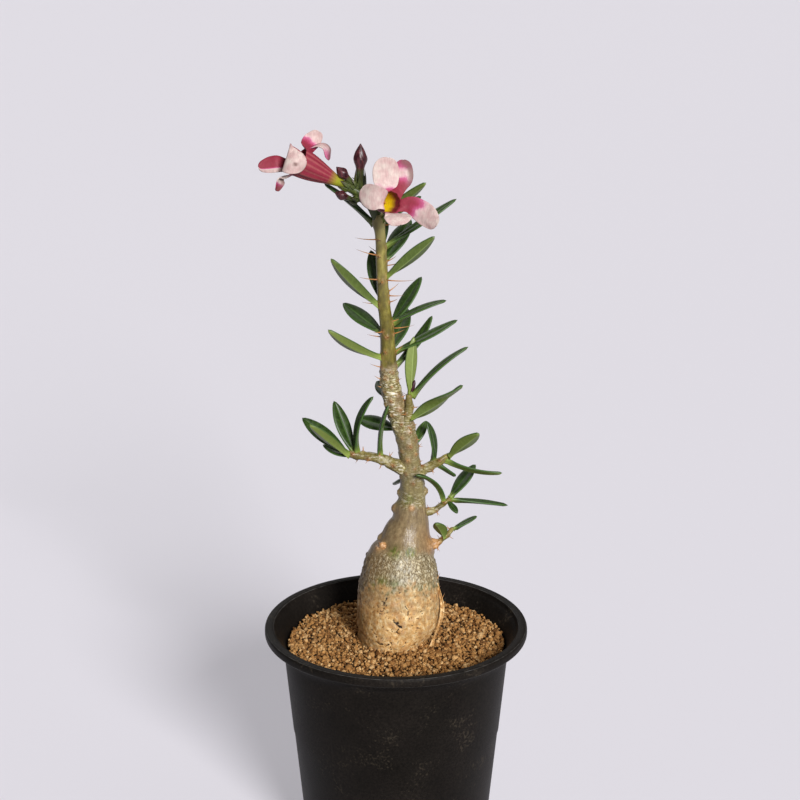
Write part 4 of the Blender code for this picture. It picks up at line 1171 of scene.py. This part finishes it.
def thorn(growth, root, compass, rise, length, radius=0.3):
    """A thorn from its root inside the bark, bent a little upwards towards its tip."""
    samples, along = [], []
    for i in range(THORN_RINGS):
        t = i / (THORN_RINGS - 1)
        pointing = direction(math.radians(compass), math.radians(rise + THORN_BEND * (t - 0.5)))
        samples.append(Vector((*(root + pointing * length * t * MM), radius * MM * (1.02 - t) ** 0.8)))
        along += [t] * THORN_SIDES
    points = rings_along(samples, THORN_SIDES) + [samples[0].xyz, samples[-1].xyz]
    growth.add(points, capped(THORN_RINGS, THORN_SIDES), 1, along=along + [0, 1])


HORN = ((0.0, "#93552a"), (0.35, "#bd8347"), (0.75, "#a2764c"), (1.0, "#5a4234"))  # from root to tip
tree, place = new_finish("thorn_horn", {"IOR": 1.5, "Roughness": 0.45})
horn = add_node(tree, "ValToRGB", {"Fac": "along"}, HORN)
surface(tree, layered(tree, horn, (lumpy(tree, place, 0.3, 1.2), 0.3, 0.7, 0.8, 1.15, SHADE)))
print("thorns listed:", len(THORNS))

# %% [markdown]
# ## Growing the stem
#
# The bark and the thorns follow the same line. Under every leaf and thorn of the green part lies a
# raised orange-brown scar, so these join the list of bumps first.

# %% Growing the stem
STUB_SHARE = 0.33  # of the leaf scars on the old wood that keep worn thorns
STUB_RADIUS = 0.18
stem_bumps += [(on_stem(*leaf_row[:2]), 1.6, 0.5) for leaf_row in STEM_LEAVES if leaf_row[0] > 200]
stem_bumps += [(on_stem(*thorn_row[:2]), 1.1, 0.4) for thorn_row in THORNS if thorn_row[0] > 206]

bark = Growth()
bark_skin(bark, STEM, STEM_SIDES, stem_relief)
for height, compass, tip_compass, rise, length in THORNS:
    thorn(bark, on_stem(height, compass, 0.9), tip_compass, rise, length)
for height, compass, *_ in STEM_LEAVES:
    if height > 205 and math.sin(math.radians(compass)) > 0.3:
        root = on_stem(height - 1.2, compass, 0.9)
        for spread in (-40, 40):
            thorn(bark, root, compass + spread, 6, random.uniform(6, 9))
for height, compass, size in SCARS:
    if random.random() < STUB_SHARE:
        root = on_stem(height, compass)
        for spread in (-24, 24):
            thorn(bark, root, compass + spread, random.uniform(0, 30), random.uniform(1.0, 2.6), STUB_RADIUS)
print("thorns:", bark.finishes.count(1) // len(capped(THORN_RINGS, THORN_SIDES)))

# %% [markdown]
# ## Bark of a side branch
#
# A side branch has the trunk's bark on a thinner tube, with scars at the golden angle and a worn pair
# of thorns on each. Its skin gets greener towards the tip.

# %% Bark of a side branch
def branch_relief(samples, sides, spread, pink=0.0):
    """A relief as stem_relief, with its scars so many mm apart and a pink foot if there is one."""
    around = rings_along(samples, sides)
    bumps = []
    turn = 0.0
    for i in range(2, len(samples) - 1, max(1, round(spread * MM / (samples[1] - samples[0]).xyz.length))):
        turn += GOLDEN_ANGLE / 360 * sides
        bumps.append((around[i * sides + round(turn) % sides], random.uniform(0.7, 1.2), 0.6))

    def relief(points, outward):
        along = np.repeat(np.linspace(0, 1, len(samples)), sides)
        scarred, out = bump_shares(points, bumps)
        cone = pink * (1 - soft_step(along, 0.48, 0.62))
        lift = out + 0.35 * noise_at(points, 2.0) - 0.25
        return lift, {
            "flaky": 0.9 * (1 - soft_step(along, 0.6, 1.0)),
            "young": 0.3 + 0.45 * soft_step(along, 0.1, 0.8),
            "scar": scarred,
            "cushion": cone,
            "smooth": np.full(len(points), 0.95),
        }

    return relief, bumps


def stubs(growth, samples, bumps):
    """Short worn thorns on a branch's scars, two on each."""
    for centre, _, _ in bumps:
        nearest = min(samples, key=lambda sample: (sample.xyz - Vector(centre)).length)
        out = Vector(centre) - nearest.xyz
        compass = math.degrees(math.atan2(out.y, out.x))
        rise = math.degrees(math.asin(max(-1, min(1, out.z / out.length))))
        for spread in (-22, 22):
            thorn(growth, Vector(centre), compass + spread, rise, random.uniform(1.2, 2.8), STUB_RADIUS)


print("branches with leaves:", len(BRANCH_LEAVES))

# %% [markdown]
# ## The spur, the loose strip and the knob
#
# The main stem's piece also holds its short spur and the orange knob at the left of the neck. A
# strip of dry skin has peeled off the right of the caudex and hangs there as a thin curled blade,
# with a few loose fibres. Then come the leaves, each sunk a little into the bark.

# %% The spur, the loose strip and the knob
# The strip's middle line carries half its width where the other lines carry a radius.
PEEL_LINE = (
    (16.4, -3.5, 115.0, 0.4),
    (17.7, -4.6, 111.0, 0.9),
    (18.4, -5.6, 106.5, 0.9),
    (18.0, -6.6, 101.5, 0.85),
    (16.4, -7.8, 96.0, 0.75),
    (13.6, -9.4, 90.0, 0.6),
)
PEEL_WIDTHWAYS = (0.86, -0.42, 0.28)
PEEL_STEP = 0.9
PEEL_CURL = 0.45  # how far it turns to and fro, in radians
PEEL_FOLD = 0.5
PEEL_THICKNESS = 0.35
KNOB = (131.2, 212)  # the orange knob at the left of the neck: its height in mm and compass
KNOB_RISE = 32
KNOB_SIDES = 16
# The knob as (mm out from its foot, radius in mm).
KNOB_OUTLINE = ((-1.0, 1.9), (0.4, 1.9), (1.3, 1.75), (2.1, 1.4), (2.7, 0.95), (3.0, 0.4), (3.1, 0.1))
# Loose fibres at the strip, as (x, y, height, compass, rise, length).
WHISKERS = (
    (15.9, -3.2, 116.0, 40, 50, 3.6),
    (17.4, -5.0, 107.6, 20, 55, 4.2),
    (15.2, -3.6, 112.8, 350, 20, 3.0),
)
WHISKER_RADIUS = 0.22
SPUR_LINE = (
    (2.6, -1.2, 178.0, 2.2),
    (4.4, -2.4, 184.0, 2.1),
    (5.2, -2.6, 189.5, 1.8),
    (5.0, -2.4, 193.6, 1.4),
)
SPUR_SIDES = 40
SPUR_SCARS = 1.5  # mm from one scar to the next
spur = smooth_line(SPUR_LINE, STEM_STEP)
relief, bumps = branch_relief(spur, SPUR_SIDES, SPUR_SCARS)
bark_skin(bark, spur, SPUR_SIDES, relief)
stubs(bark, spur, bumps)
rows = []
strip = smooth_line(PEEL_LINE, PEEL_STEP * MM)
for i, sample in enumerate(strip):
    ahead = (strip[min(i + 1, len(strip) - 1)] - strip[max(i - 1, 0)]).xyz
    curl = Matrix.Rotation(PEEL_CURL * math.sin(i * 0.35), 3, ahead)
    across = curl @ Vector(PEEL_WIDTHWAYS) * sample.w * (1 + 0.25 * noise.noise(Vector((i * 0.6, 0, 0))))
    rows.append((sample.xyz, -across, across.cross(Vector((0, 0, 1))).normalized()))
blade(bark, rows, PEEL_FOLD, PEEL_THICKNESS, corky=1.0)
knob = on_stem(*KNOB, 0.94)
pointing = direction(math.radians(KNOB[1] + 8), math.radians(KNOB_RISE))
samples = [Vector((*(knob + pointing * out * MM), wide * MM)) for out, wide in KNOB_OUTLINE]
points = []
for point in rings_along(samples, KNOB_SIDES):
    points.append(point + (point - knob) * 0.12 * noise.noise(point / MM))
points += [samples[0].xyz, samples[-1].xyz]
bark.add(points, capped(len(samples), KNOB_SIDES), cushion=[1] * len(points), smooth=[0.7] * len(points))
for spread in (-50, 30):
    thorn(bark, samples[3].xyz, KNOB[1] + spread, 50, 2.4, 0.16)
for x, y, z, compass, rise, length in WHISKERS:
    thorn(bark, Vector((x, y, z)) * MM, compass, rise, length, WHISKER_RADIUS)
bark.piece("caudex_bark", ["pachypodium_bark", "thorn_horn"], "bark", "caudex_and_stem")

leaves = Growth()
for values in STEM_LEAVES:
    leaf(leaves, stem_at(values[0]), values)
for values in SPUR_LEAVES:
    leaf(leaves, at_share(spur, values[0]), values)
leaves.piece("stem_leaves", ["waxy_leaf"], "leaf")

# %% [markdown]
# ## Side branches
#
# Four thin branches grow out of the neck and trunk, grey at the foot and green at the end, with
# leaves only near their tips. They reuse the bark, leaf and thorn functions, so a few lines are
# enough. The lowest one leaves the caudex through an orange-pink cone.

# %% Side branches
BRANCH_LINES = {
    "branch_left": (
        (3.0, -0.6, 162.5, 3.2),
        (-1.0, -0.9, 164.4, 2.8),
        (-5.0, -1.0, 166.4, 2.2),
        (-10.0, -1.0, 167.6, 2.0),
        (-16.0, -1.0, 168.1, 1.8),
        (-18.4, -1.0, 168.9, 1.3),
    ),
    "branch_right_upper": (
        (7.0, 0.2, 158.6, 2.4),
        (10.8, 0.0, 161.4, 2.2),
        (14.0, 0.0, 163.6, 1.9),
        (17.6, 0.0, 165.6, 1.8),
        (20.6, 0.0, 167.8, 1.2),
    ),
    "branch_right_middle": (
        (8.0, 0.2, 142.6, 2.6),
        (13.0, 0.0, 144.0, 1.8),
        (16.6, 0.0, 145.8, 1.3),
        (19.6, 0.0, 148.2, 1.2),
        (21.2, 0.0, 149.8, 1.0),
    ),
    "branch_right_lower": (
        (9.0, 0.0, 129.4, 3.6),
        (14.6, 0.0, 130.4, 2.6),
        (17.6, -0.2, 131.8, 1.4),
        (20.4, -0.3, 134.4, 1.2),
        (22.6, 0.0, 137.0, 0.9),
    ),
}
BRANCH_SIDES = 48
BRANCH_SCARS = 1.3
for node, line in BRANCH_LINES.items():
    samples = smooth_line(line, 0.4 * MM)
    pink = 1.0 if node == "branch_right_lower" else 0.0
    relief, bumps = branch_relief(samples, BRANCH_SIDES, BRANCH_SCARS, pink)
    bark = Growth()
    bark_skin(bark, samples, BRANCH_SIDES, relief)
    stubs(bark, samples, bumps)
    name = node.replace("branch_", "")
    bark.piece(name + "_branch_bark", ["pachypodium_bark", "thorn_horn"], "bark", node)
    leaves = Growth()
    for values in BRANCH_LEAVES[node]:
        leaf(leaves, at_share(samples, values[0]), values)
    leaves.piece(name + "_branch_leaves", ["waxy_leaf"], "leaf")

# %% [markdown]
# ## Stalk, sepals and buds
#
# A short olive stalk forks to two flowers and three buds, and five pointed sepals hug the foot of
# each. A bud's petals are rolled round each other, which shows as a slow spiral on its surface.
# The buds are dark maroon and shiny, green only where the sepals still cover them.

# %% Stalk, sepals and buds
STALK_LINE = ((-6.6, 0.0, 262.6, 2.1), (-9.4, -0.4, 268.6, 1.9), (-12.6, -1.0, 272.4, 2.6))
STALK_FORKS = {
    "bud_tall": ((-12.4, -0.9, 272.0, 2.4),),
    "flower_left": ((-12.8, -1.0, 273.1, 2.3), (-16.0, -1.5, 275.0, 1.9)),
    "flower_right": ((-11.4, -1.1, 271.5, 2.1), (-10.3, -2.6, 270.5, 1.8)),
    "bud_upper_left": ((-13.3, -1.2, 275.2, 1.8),),
    "bud_lower_left": ((-13.1, -1.6, 272.3, 1.7),),
}
SEPAL_LENGTHS = {
    "bud_tall": 6.5,
    "flower_left": 4,
    "flower_right": 4,
    "bud_upper_left": 3,
    "bud_lower_left": 3,
}
SEPALS = 5
# Flowers: where each tube leaves its sepals and the middle of its mouth, in mm. Buds: base, tip, radius.
FLOWERS = {
    "flower_left": ((-18.9, -2.1, 276.7), (-36.1, -6.0, 286.7)),
    "flower_right": ((-9.4, -4.8, 270.9), (-1.9, -19.0, 274.4)),
}
BUDS = {
    "bud_tall": ((-13.5, -1.1, 276.8), (-13.2, -1.0, 292.4), 2.7),
    "bud_upper_left": ((-16.1, -2.2, 277.3), (-22.2, -4.3, 284.3), 2.15),
    "bud_lower_left": ((-15.8, -4.0, 271.4), (-22.8, -6.5, 275.0), 1.95),
}
# A bud as (share of its length, share of its radius).
BUD_OUTLINE = (
    (0.0, 0.45),
    (0.2, 0.52),
    (0.42, 0.6),
    (0.58, 0.97),
    (0.66, 1.0),
    (0.8, 0.72),
    (0.92, 0.34),
    (1.0, 0.04),
)

tree, place = new_finish("olive_stalk", {"IOR": 1.45, "Coat Weight": 0.15, "Coat Roughness": 0.3})
speck = lumpy(tree, place, 0.9, 2.2)
olive = add_node(tree, "ValToRGB", {"Fac": speck}, ((0.32, "#2e3812"), (0.5, "#424d1a"), (0.68, "#5c672a")))
olive = layered(tree, olive, ("along", 0.3, 1.0, 0.0, 0.75, "#3a1a16"))
surface(tree, olive, (speck, 0.3, 0.7, 0.42, 0.55), speck, 0.3, 0.15)

tree, place = new_finish("maroon_bud", {"IOR": 1.45, "Coat Weight": 0.2, "Coat Roughness": 0.28})
streak = lumpy(tree, place, 0.7, 4.0)
maroon = add_node(tree, "ValToRGB", {"Fac": streak}, ((0.3, "#20060b"), (0.52, "#3a0f17"), (0.72, "#6b2c33")))
maroon = layered(tree, maroon, ("seam", 0.75, 1, 0, 0.6, "#7f4240"), ("along", 0.3, 0.44, 1, 0, "#414a1c"))
surface(tree, maroon, (streak, 0.3, 0.7, 0.38, 0.5), streak, 0.25, 0.12)
print("stalk forks:", len(STALK_FORKS))

# %% [markdown]
# ## Growing the stalk
#
# A fork is a tube that ends inside what it holds. Its sepals are small blades set round the fork's
# end, each square to the axis of the flower or bud.

# %% Growing the stalk
FORK_SIDES = 28
SEPAL_TURN = math.radians(25)
SEPAL_ROWS = 12
SEPAL_FOLD = 0.3
SEPAL_THICKNESS = 0.5
SEPAL_SINK = 1.2  # how far its foot lies below the flower's base, in mm
SEPAL_GAIN = 1.1  # for the part of its length that the sink hides


def frame_of(axis):
    """The directions to the right and up, square to an axis."""
    right = Vector((0, 0, 1)).cross(axis).normalized()
    return right, axis.cross(right)


def tube(growth, samples, sides):
    """A closed round tube along the samples."""
    points = rings_along(samples, sides) + [samples[0].xyz, samples[-1].xyz]
    growth.add(points, capped(len(samples), sides))


stalk = Growth()
tube(stalk, smooth_line(STALK_LINE, STEM_STEP), FORK_SIDES)
for name, line in STALK_FORKS.items():
    if name in FLOWERS:
        base, end, radius = *FLOWERS[name], 1.6
    else:
        base, end, radius = *BUDS[name][:2], BUDS[name][2] * 0.56
    base, axis = Vector(base), (Vector(end) - Vector(base)).normalized()
    tube(stalk, smooth_line((*line, (*base, radius + 0.3)), STEM_STEP), FORK_SIDES)
    right, up = frame_of(axis)
    length = SEPAL_LENGTHS[name] * SEPAL_GAIN
    for i in range(SEPALS):
        angle = math.tau * i / SEPALS + SEPAL_TURN
        out = right * math.cos(angle) + up * math.sin(angle)
        rows = []
        for k in range(SEPAL_ROWS + 1):
            t = k / SEPAL_ROWS
            away = radius + 0.45 + 0.25 * math.sin(math.pi * t) - 0.2 * t
            middle = base + axis * (length * t - SEPAL_SINK) + out * away
            across = out.cross(axis) * (radius * 0.78 * (1 - t**1.8) + 0.03)
            rows.append((middle * MM, across * MM, -out))
        blade(stalk, rows, SEPAL_FOLD, SEPAL_THICKNESS)
stalk.piece("stalk_and_sepals", ["olive_stalk"], "stalk", "flower_stalk")

# %% [markdown]
# ## Growing the buds
#
# A bud's rings have five soft steps, one for the edge of each rolled petal, and a ring is turned a
# little further than the one below it. The steps fade out towards the foot.

# %% Growing the buds
BUD_SIDES = 40
BUD_RINGS = 48
for name, (base, end, radius) in BUDS.items():
    base, end = Vector(base), Vector(end)
    right, up = frame_of((end - base).normalized())
    shares, widths = zip(*BUD_OUTLINE)
    points, along, seam = [], [], []
    for i in range(BUD_RINGS + 1):
        t = i / BUD_RINGS
        near = [t + share for share in (-0.04, -0.02, 0, 0.02, 0.04)]
        smooth_width = float(np.interp(near, shares, widths).mean())
        twisting = 0.11 * soft_step(t, 0.4, 0.6)
        for k in range(BUD_SIDES):
            angle = math.tau * k / BUD_SIDES
            step = (5 * (angle / math.tau + 0.45 * t)) % 1
            wide = radius * smooth_width * (1 + twisting * (step - 0.6))
            points.append((base.lerp(end, t) + (right * math.cos(angle) + up * math.sin(angle)) * wide) * MM)
            along.append(t)
            seam.append(float(twisting > 0) * step)
    bud = Growth()
    points += [base * MM, end * MM]
    bud.add(points, capped(BUD_RINGS + 1, BUD_SIDES), along=along + [0, 1], seam=seam + [0, 0])
    bud.piece(name.replace("bud_", "") + "_bud", ["maroon_bud"], "bud", name)

# %% [markdown]
# ## Flowers
#
# A pachypodium's flower is one piece of tissue: a funnel whose mouth splits into five lobes that
# overlap like the blades of a fan. So each flower is one sheet. Its tube is made of rings, and
# every lobe starts from its own fifth of the last ring, so there is no seam between them.
# Further out the lobe leaves the circle and follows its own curve.
#
# A Subdivision modifier softens the sheet, and Solidify gives it a thickness of 0.35 mm with one
# material inside and another outside. Where each lobe lies was read off the photo.

# %% Flowers
# The tube as (share of its length, radius in mm), before it is widened or narrowed to its mouth.
TUBE_SHAPE = ((0.0, 1.2), (0.18, 1.75), (0.35, 2.6), (0.51, 3.5), (0.7, 4.35), (0.85, 4.8), (1.0, 5.0))
MOUTH_RADIUS = {"flower_left": 5.4, "flower_right": 4.2}
TUBE_ROWS = 24
PLEATS = 10
STREAKS = 15
LOBE_COUNT = 5
LOBE_COLUMNS = 14
LOBE_ROWS = 26
# A lobe has its middle line from the mouth's rim to the tip, in mm from the mouth's centre, its width in
# mm, the compass and rise of its width, and how much its sides fold up. Its colours say how far the
# crimson reaches on its inner and outer face and on its tip, and how brown and how cream its edges are.
LOBES = {
    "flower_left": (
        # Folded back over the tube, with an ear at the fold.
        dict(
            line=(
                (1.7, -4.8, 0.4), (-1.6, -5.2, 2.2), (-4.5, -6.6, 2.9),
                (-2.6, -8.4, 2.4), (0.3, -8.6, 2.0), (3.0, -7.4, 2.3),
            ),
            width=10.4, across=(35, 62), fold=0.14, outside=0.9, ear=(0.4, 1, 1.7), dot=(0.74, -0.2),
        ),
        # Held out to the left, with its lower edge rolled.
        dict(
            line=((-3.0, 0.6, 0.3), (-7.1, -0.5, -0.7), (-10.8, -1.0, -0.9), (-15.0, -1.5, -1.8)),
            width=6.6, foot=0.2, across=(90, 71), fold=0.2, inside=1.3, outside=1.3, cream=-1,
        ),
        # Narrow, seen on its edge.
        dict(
            line=((-4.1, -1.0, -3.6), (-6.5, -2.0, -5.3), (-7.8, -3.0, -7.7), (-8.6, -4.0, -10.0)),
            width=5.6, across=(62, 0), fold=0.3, inside=0.1, outside=0.1, tip=0.9, brown=0.7,
        ),
        # Standing up.
        dict(
            line=((1.8, 2.0, 4.1), (3.7, 4.0, 5.7), (5.9, 5.6, 8.0), (7.4, 5.8, 10.2)),
            width=6.8, across=(0, -38), fold=0.1, inside=0.55, outside=0.45,
        ),
        # Curled over, brown at the tip.
        dict(
            line=((2.9, 3.0, 3.8), (5.5, 4.5, 5.2), (8.5, 4.0, 5.9), (10.6, 2.5, 4.3), (11.0, 0.5, 0.6)),
            width=6.2, across=(70, 0), fold=0.15, inside=0.35, outside=0.3, tip=0.4, brown=0.8,
        ),
    ),
    "flower_right": (
        # Standing up in front.
        dict(
            line=((-1.3, 1.0, 3.4), (-1.7, 2.6, 6.7), (-1.5, 3.8, 11.2), (-0.9, 4.0, 16.0)),
            width=10.4, across=(8, 0), fold=0.12, inside=0.12, outside=0.3,
        ),
        # Behind it, with a brown edge.
        dict(
            line=((2.0, 1.4, 2.6), (3.0, 4.4, 5.4), (4.6, 6.6, 9.2), (4.7, 8.0, 14.2)),
            width=8.0, across=(0, -8), fold=0.1, inside=0.5, outside=0.3, tip=0.55, brown=0.95,
        ),
        # Folded over towards the left, so its fold covers the edge of the throat.
        dict(
            line=(
                (-3.5, -0.5, 0.0), (-2.6, -3.4, 1.1), (-5.0, -4.8, 2.6),
                (-7.9, -4.2, 3.8), (-10.5, -2.0, 5.9),
            ),
            width=9.8, across=(0, 68), fold=0.08, inside=0.05, outside=0.3, brown=0.25,
        ),
        # Hanging out to the right, narrow at its foot.
        dict(
            line=(
                (3.9, 0.5, -0.3), (7.2, 1.5, -1.3), (11.3, 0.8, -3.6),
                (14.2, -1.0, -5.6), (16.6, -3.6, -8.4),
            ),
            width=8.8, foot=0.42, across=(0, 58), fold=0.1, inside=0.42, outside=0.5,
        ),
        # Hanging down in front.
        dict(
            line=((0.2, -1.0, -3.7), (2.0, -4.0, -3.3), (2.9, -7.5, -3.9), (3.7, -10.0, -5.8)),
            width=10.6, across=(0, 0), fold=0.1, inside=0.14, outside=0.3,
        ),
    ),
}
print("lobes:", {name: len(lobes) for name, lobes in LOBES.items()})

# %% [markdown]
# ## One lobe
#
# A lobe's first rows follow the rim's own arc, and let go of it over the first third of the lobe's
# length. Noise ruffles the margins, the same each time because its seed comes from the lobe.

# %% One lobe
LOBE_FOOT = 0.55


def lobe_width(t, foot):
    """The width at a share of the length: narrower at the foot, widest past the middle, rounded."""
    return (foot + (1 - foot) * math.sin(math.pi * min(1, t + 0.12) / 1.6)) * (1 - t**6) ** 0.55


def lobe_rows(mouth, arc, lobe):
    """The rows of points of a lobe, from the arc of the rim out, and their colouring."""
    rim = [point - mouth for point in arc]
    middle = rim[LOBE_COLUMNS // 2]
    samples = smooth_line((middle / MM, *lobe["line"][1:]), 0.3 * MM)
    widthways = direction(*map(math.radians, lobe["across"]))
    turned = -1 if widthways.dot(rim[-1] - rim[0]) < 0 else 1
    seed = lobe["width"] + lobe["across"][0]
    ear_share, ear_side, ear_size = lobe.get("ear", (0, 0, 0))
    dot_share, dot_side = lobe.get("dot", (-1, 0))
    inside, outside = lobe.get("inside", 0), lobe.get("outside", 0)
    rows, colours = [], []
    for i in range(1, LOBE_ROWS + 1):
        t = math.sin(math.pi / 2 * i / LOBE_ROWS) * 0.998
        centre = at_share(samples, t)
        ahead = (at_share(samples, t + 0.05) - at_share(samples, t - 0.05)).normalized()
        across = (widthways - ahead * widthways.dot(ahead)).normalized() * turned
        face = across.cross(ahead)
        half = lobe["width"] / 2 * MM * lobe_width(t, lobe.get("foot", LOBE_FOOT))
        own = soft_step(t, 0.0, 0.3)
        ear = ear_size * MM * max(0, 1 - abs(t - ear_share) / 0.07)
        for k in range(LOBE_COLUMNS + 1):
            u = k / LOBE_COLUMNS * 2 - 1
            side = u * turned
            ruffle = 0.7 * MM * u * u * t * noise.noise(Vector((u * 2.2, t * 4, seed)))
            reach = half * u * (1 + 0.1 * noise.noise(Vector((side, t * 3, seed + 5))))
            reach += ear * turned * ear_side * soft_step(side * ear_side, 0.5, 1)
            free = centre + across * reach + face * (lobe["fold"] * u * u * half + ruffle)
            bound = rim[k] + centre - middle
            rows.append(mouth + bound.lerp(free, own))
            waver = 0.1 * noise.noise(Vector((side * 1.5, t * 3, seed)))
            tip = lobe.get("tip", 0) * soft_step(t, 0.6, 0.9)
            cream = soft_step(side * lobe.get("cream", 0), 0.3, 0.55)
            edge = soft_step(side, 0.3, 0.9) * soft_step(t, 0.2, 0.5) + soft_step(t + 0.2 * side, 0.7, 0.95)
            spot = 1 - soft_step(math.hypot(t - dot_share, (side - dot_side) / 3), 0.03, 0.07)
            blush = max(1 - soft_step(t + waver, inside - 0.25, inside + 0.2), tip) * (1 - cream)
            blush_out = max(1 - soft_step(t + waver, outside - 0.2, outside + 0.2), tip) * (1 - cream)
            colours.append((blush, blush_out, max(min(1, edge) * lobe.get("brown", 0), spot)))
    return rows, colours


print("a lobe has", LOBE_ROWS, "rows of", LOBE_COLUMNS + 1, "points")

# %% [markdown]
# ## A flower's sheet
#
# The five lobes are sorted by where they start round the mouth, and the ring is turned so that its
# fifths lie as near to those places as they can. The tube has ten soft pleats and fifteen streaks.

# %% A flower's sheet
def flower_sheet(name):
    """The whole sheet: the rings of the tube, and then each lobe from its part of the last ring."""
    base, mouth = (Vector(point) * MM for point in FLOWERS[name])
    axis = (mouth - base).normalized()
    right, up = frame_of(axis)
    angles = []
    for number, lobe in enumerate(LOBES[name]):
        side = Vector(lobe["line"][0])
        angles.append((math.atan2(side.dot(up), side.dot(right)) % math.tau, number))
    angles.sort()
    offsets = [direction(angle - math.tau * k / LOBE_COUNT, 0) for k, (angle, _) in enumerate(angles)]
    turn = sum(offsets, Vector())
    first = math.atan2(turn.y, turn.x) - math.tau / (2 * LOBE_COUNT)
    sides = LOBE_COUNT * LOBE_COLUMNS
    shares, radii = zip(*TUBE_SHAPE)
    sheet = Growth()
    points, depth, stripe = [], [], []
    for i in range(TUBE_ROWS + 1):
        t = i / TUBE_ROWS
        radius = sum(float(np.interp(t + d, shares, radii)) for d in (-0.05, 0, 0.05)) / 3
        radius *= 1 + (MOUTH_RADIUS[name] / radii[-1] - 1) * t
        for k in range(sides):
            angle = first + math.tau * k / sides
            pleat = 1 + 0.035 * math.cos(PLEATS * (angle - first)) * soft_step(t, 0.3, 0.7)
            out = right * math.cos(angle) + up * math.sin(angle)
            points.append(base.lerp(mouth, t) + out * radius * MM * pleat)
            depth.append(t)
            stripe.append(0.5 + 0.5 * math.cos(STREAKS * (angle - first)))
    full = [1] * len(points)
    sheet.add(points, quads(TUBE_ROWS + 1, sides), depth=depth, stripe=stripe, blush=full, blush_out=full)
    last = TUBE_ROWS * sides
    for k, (_, number) in enumerate(angles):
        ring = [last + (k * LOBE_COLUMNS + j) % sides for j in range(LOBE_COLUMNS + 1)]
        rows, colours = lobe_rows(mouth, [points[j] for j in ring], LOBES[name][number])
        start = len(sheet.points)
        blush, blush_out, brown = zip(*colours)
        values = {"depth": [1] * len(rows), "blush": blush, "blush_out": blush_out, "brown": brown}
        sheet.add(rows, quads(LOBE_ROWS, LOBE_COLUMNS + 1, closed=False), **values)
        for j in range(LOBE_COLUMNS):
            sheet.faces.append([ring[j], ring[j + 1], start + j + 1, start + j])
            sheet.finishes.append(0)
    return sheet, mouth, axis


print("a tube has", TUBE_ROWS + 1, "rings of", LOBE_COUNT * LOBE_COLUMNS, "points")

# %% [markdown]
# ## Petals
#
# A petal is matt tissue with a velvety grain. Its pale side was covered in bud, the crimson one saw
# the sun, and the border between them is ragged along the veins. The foot of the tube is yellow
# inside, a yellow painted brighter so that it glows as painted light in the shaded throat, and
# green outside.

# %% Petals and pollen
PALE = ((0.3, "#c39e9c"), (0.5, "#ceb3ae"), (0.68, "#d8c7be"))
CRIMSON = ((0.1, "#dba9b8"), (0.4, "#bd5c84"), (0.72, "#a23a58"), (1.0, "#8a2c3c"))


def petal_finish(name, blush, striped, foot, throat):
    """One side of a petal. Up to its foot's share of the tube's depth, the throat's stops colour it."""
    tree, place = new_finish(name, {"IOR": 1.4, "Specular IOR Level": 0.3})
    cloudy = lumpy(tree, place, 3.0, detail=2)
    veins = lumpy(tree, place, 0.5, 2.5)
    fringe = add_node(tree, "MapRange", dict(zip(RANGE, (lumpy(tree, place, 0.7), 0.25, 0.75, -0.06, 0.06))))
    ragged = add_node(tree, "Math", {0: blush, 1: fringe}, operation="ADD")
    petal = layered(
        tree,
        add_node(tree, "ValToRGB", {"Fac": cloudy}, PALE),
        (ragged, 0.04, 0.4, 0, 1, add_node(tree, "ValToRGB", {"Fac": ragged}, CRIMSON)),
        ("stripe", 0.45, 1, 0, striped, "#c58478"),
        ("brown", 0, 1, 0, 0.85, "#6d4a45"),
        ("depth", foot - 0.12, foot + 0.08, 1, 0, add_node(tree, "ValToRGB", {"Fac": "depth"}, throat)),
        (veins, 0.3, 0.7, 0.86, 1.08, SHADE),
    )
    surface(tree, petal, (cloudy, 0.3, 0.7, 0.5, 0.62), veins, 0.3, 0.15)
    print(name, "with", len(tree.nodes), "nodes")


# inside, the throat's real yellow is painted brighter, a painted glow against the throat's shade
petal_finish("petal_inside", "blush", 0.06, 0.74, ((0.0, "#8d8410"), (0.5, "#f0d21c")))
petal_finish("petal_outside", "blush_out", 0.26, 0.32, ((0.0, "#4c5620"), (0.2, "#9a9a2a")))
tree, place = new_finish("pollen_cone", {"Roughness": 0.8})
pollen = add_node(tree, "ValToRGB", {"Fac": lumpy(tree, place, 0.4)}, ((0.35, "#b5762f"), (0.65, "#e2a85c")))
surface(tree, pollen)

# %% [markdown]
# ## Growing the flowers
#
# The stamens of this plant lean together into one cone deep in the tube, so a short spindle with
# the dusty colour of pollen stands for them.

# %% Growing the flowers
PETAL_THICKNESS = 0.35
CONE_DEPTH = 7.6  # from the mouth down to the cone's foot
CONE_STEP = 0.4
CONE_SIDES = 20
CONE_RADII = (0.8, 1.0, 1.1, 1.05, 0.95, 0.8, 0.6, 0.42, 0.24, 0.08)
for name in FLOWERS:
    sheet, mouth, axis = flower_sheet(name)
    side = name.replace("flower_", "")
    petals = sheet.piece(side + "_flower_petals", ["petal_outside", "petal_inside"], "petal", name)
    soften = petals.modifiers.new("soften", "SUBSURF")
    soften.levels = soften.render_levels = 1
    solid = petals.modifiers.new("thickness", "SOLIDIFY")
    solid.thickness = PETAL_THICKNESS * MM
    solid.offset = 0
    solid.material_offset = 1
    cone = Growth()
    samples = []
    for i, radius in enumerate(CONE_RADII):
        samples.append(Vector((*(mouth - axis * (CONE_DEPTH - CONE_STEP * i) * MM), radius * MM)))
    tube(cone, samples, CONE_SIDES)
    cone.piece(side + "_flower_anthers", ["pollen_cone"], "petal")
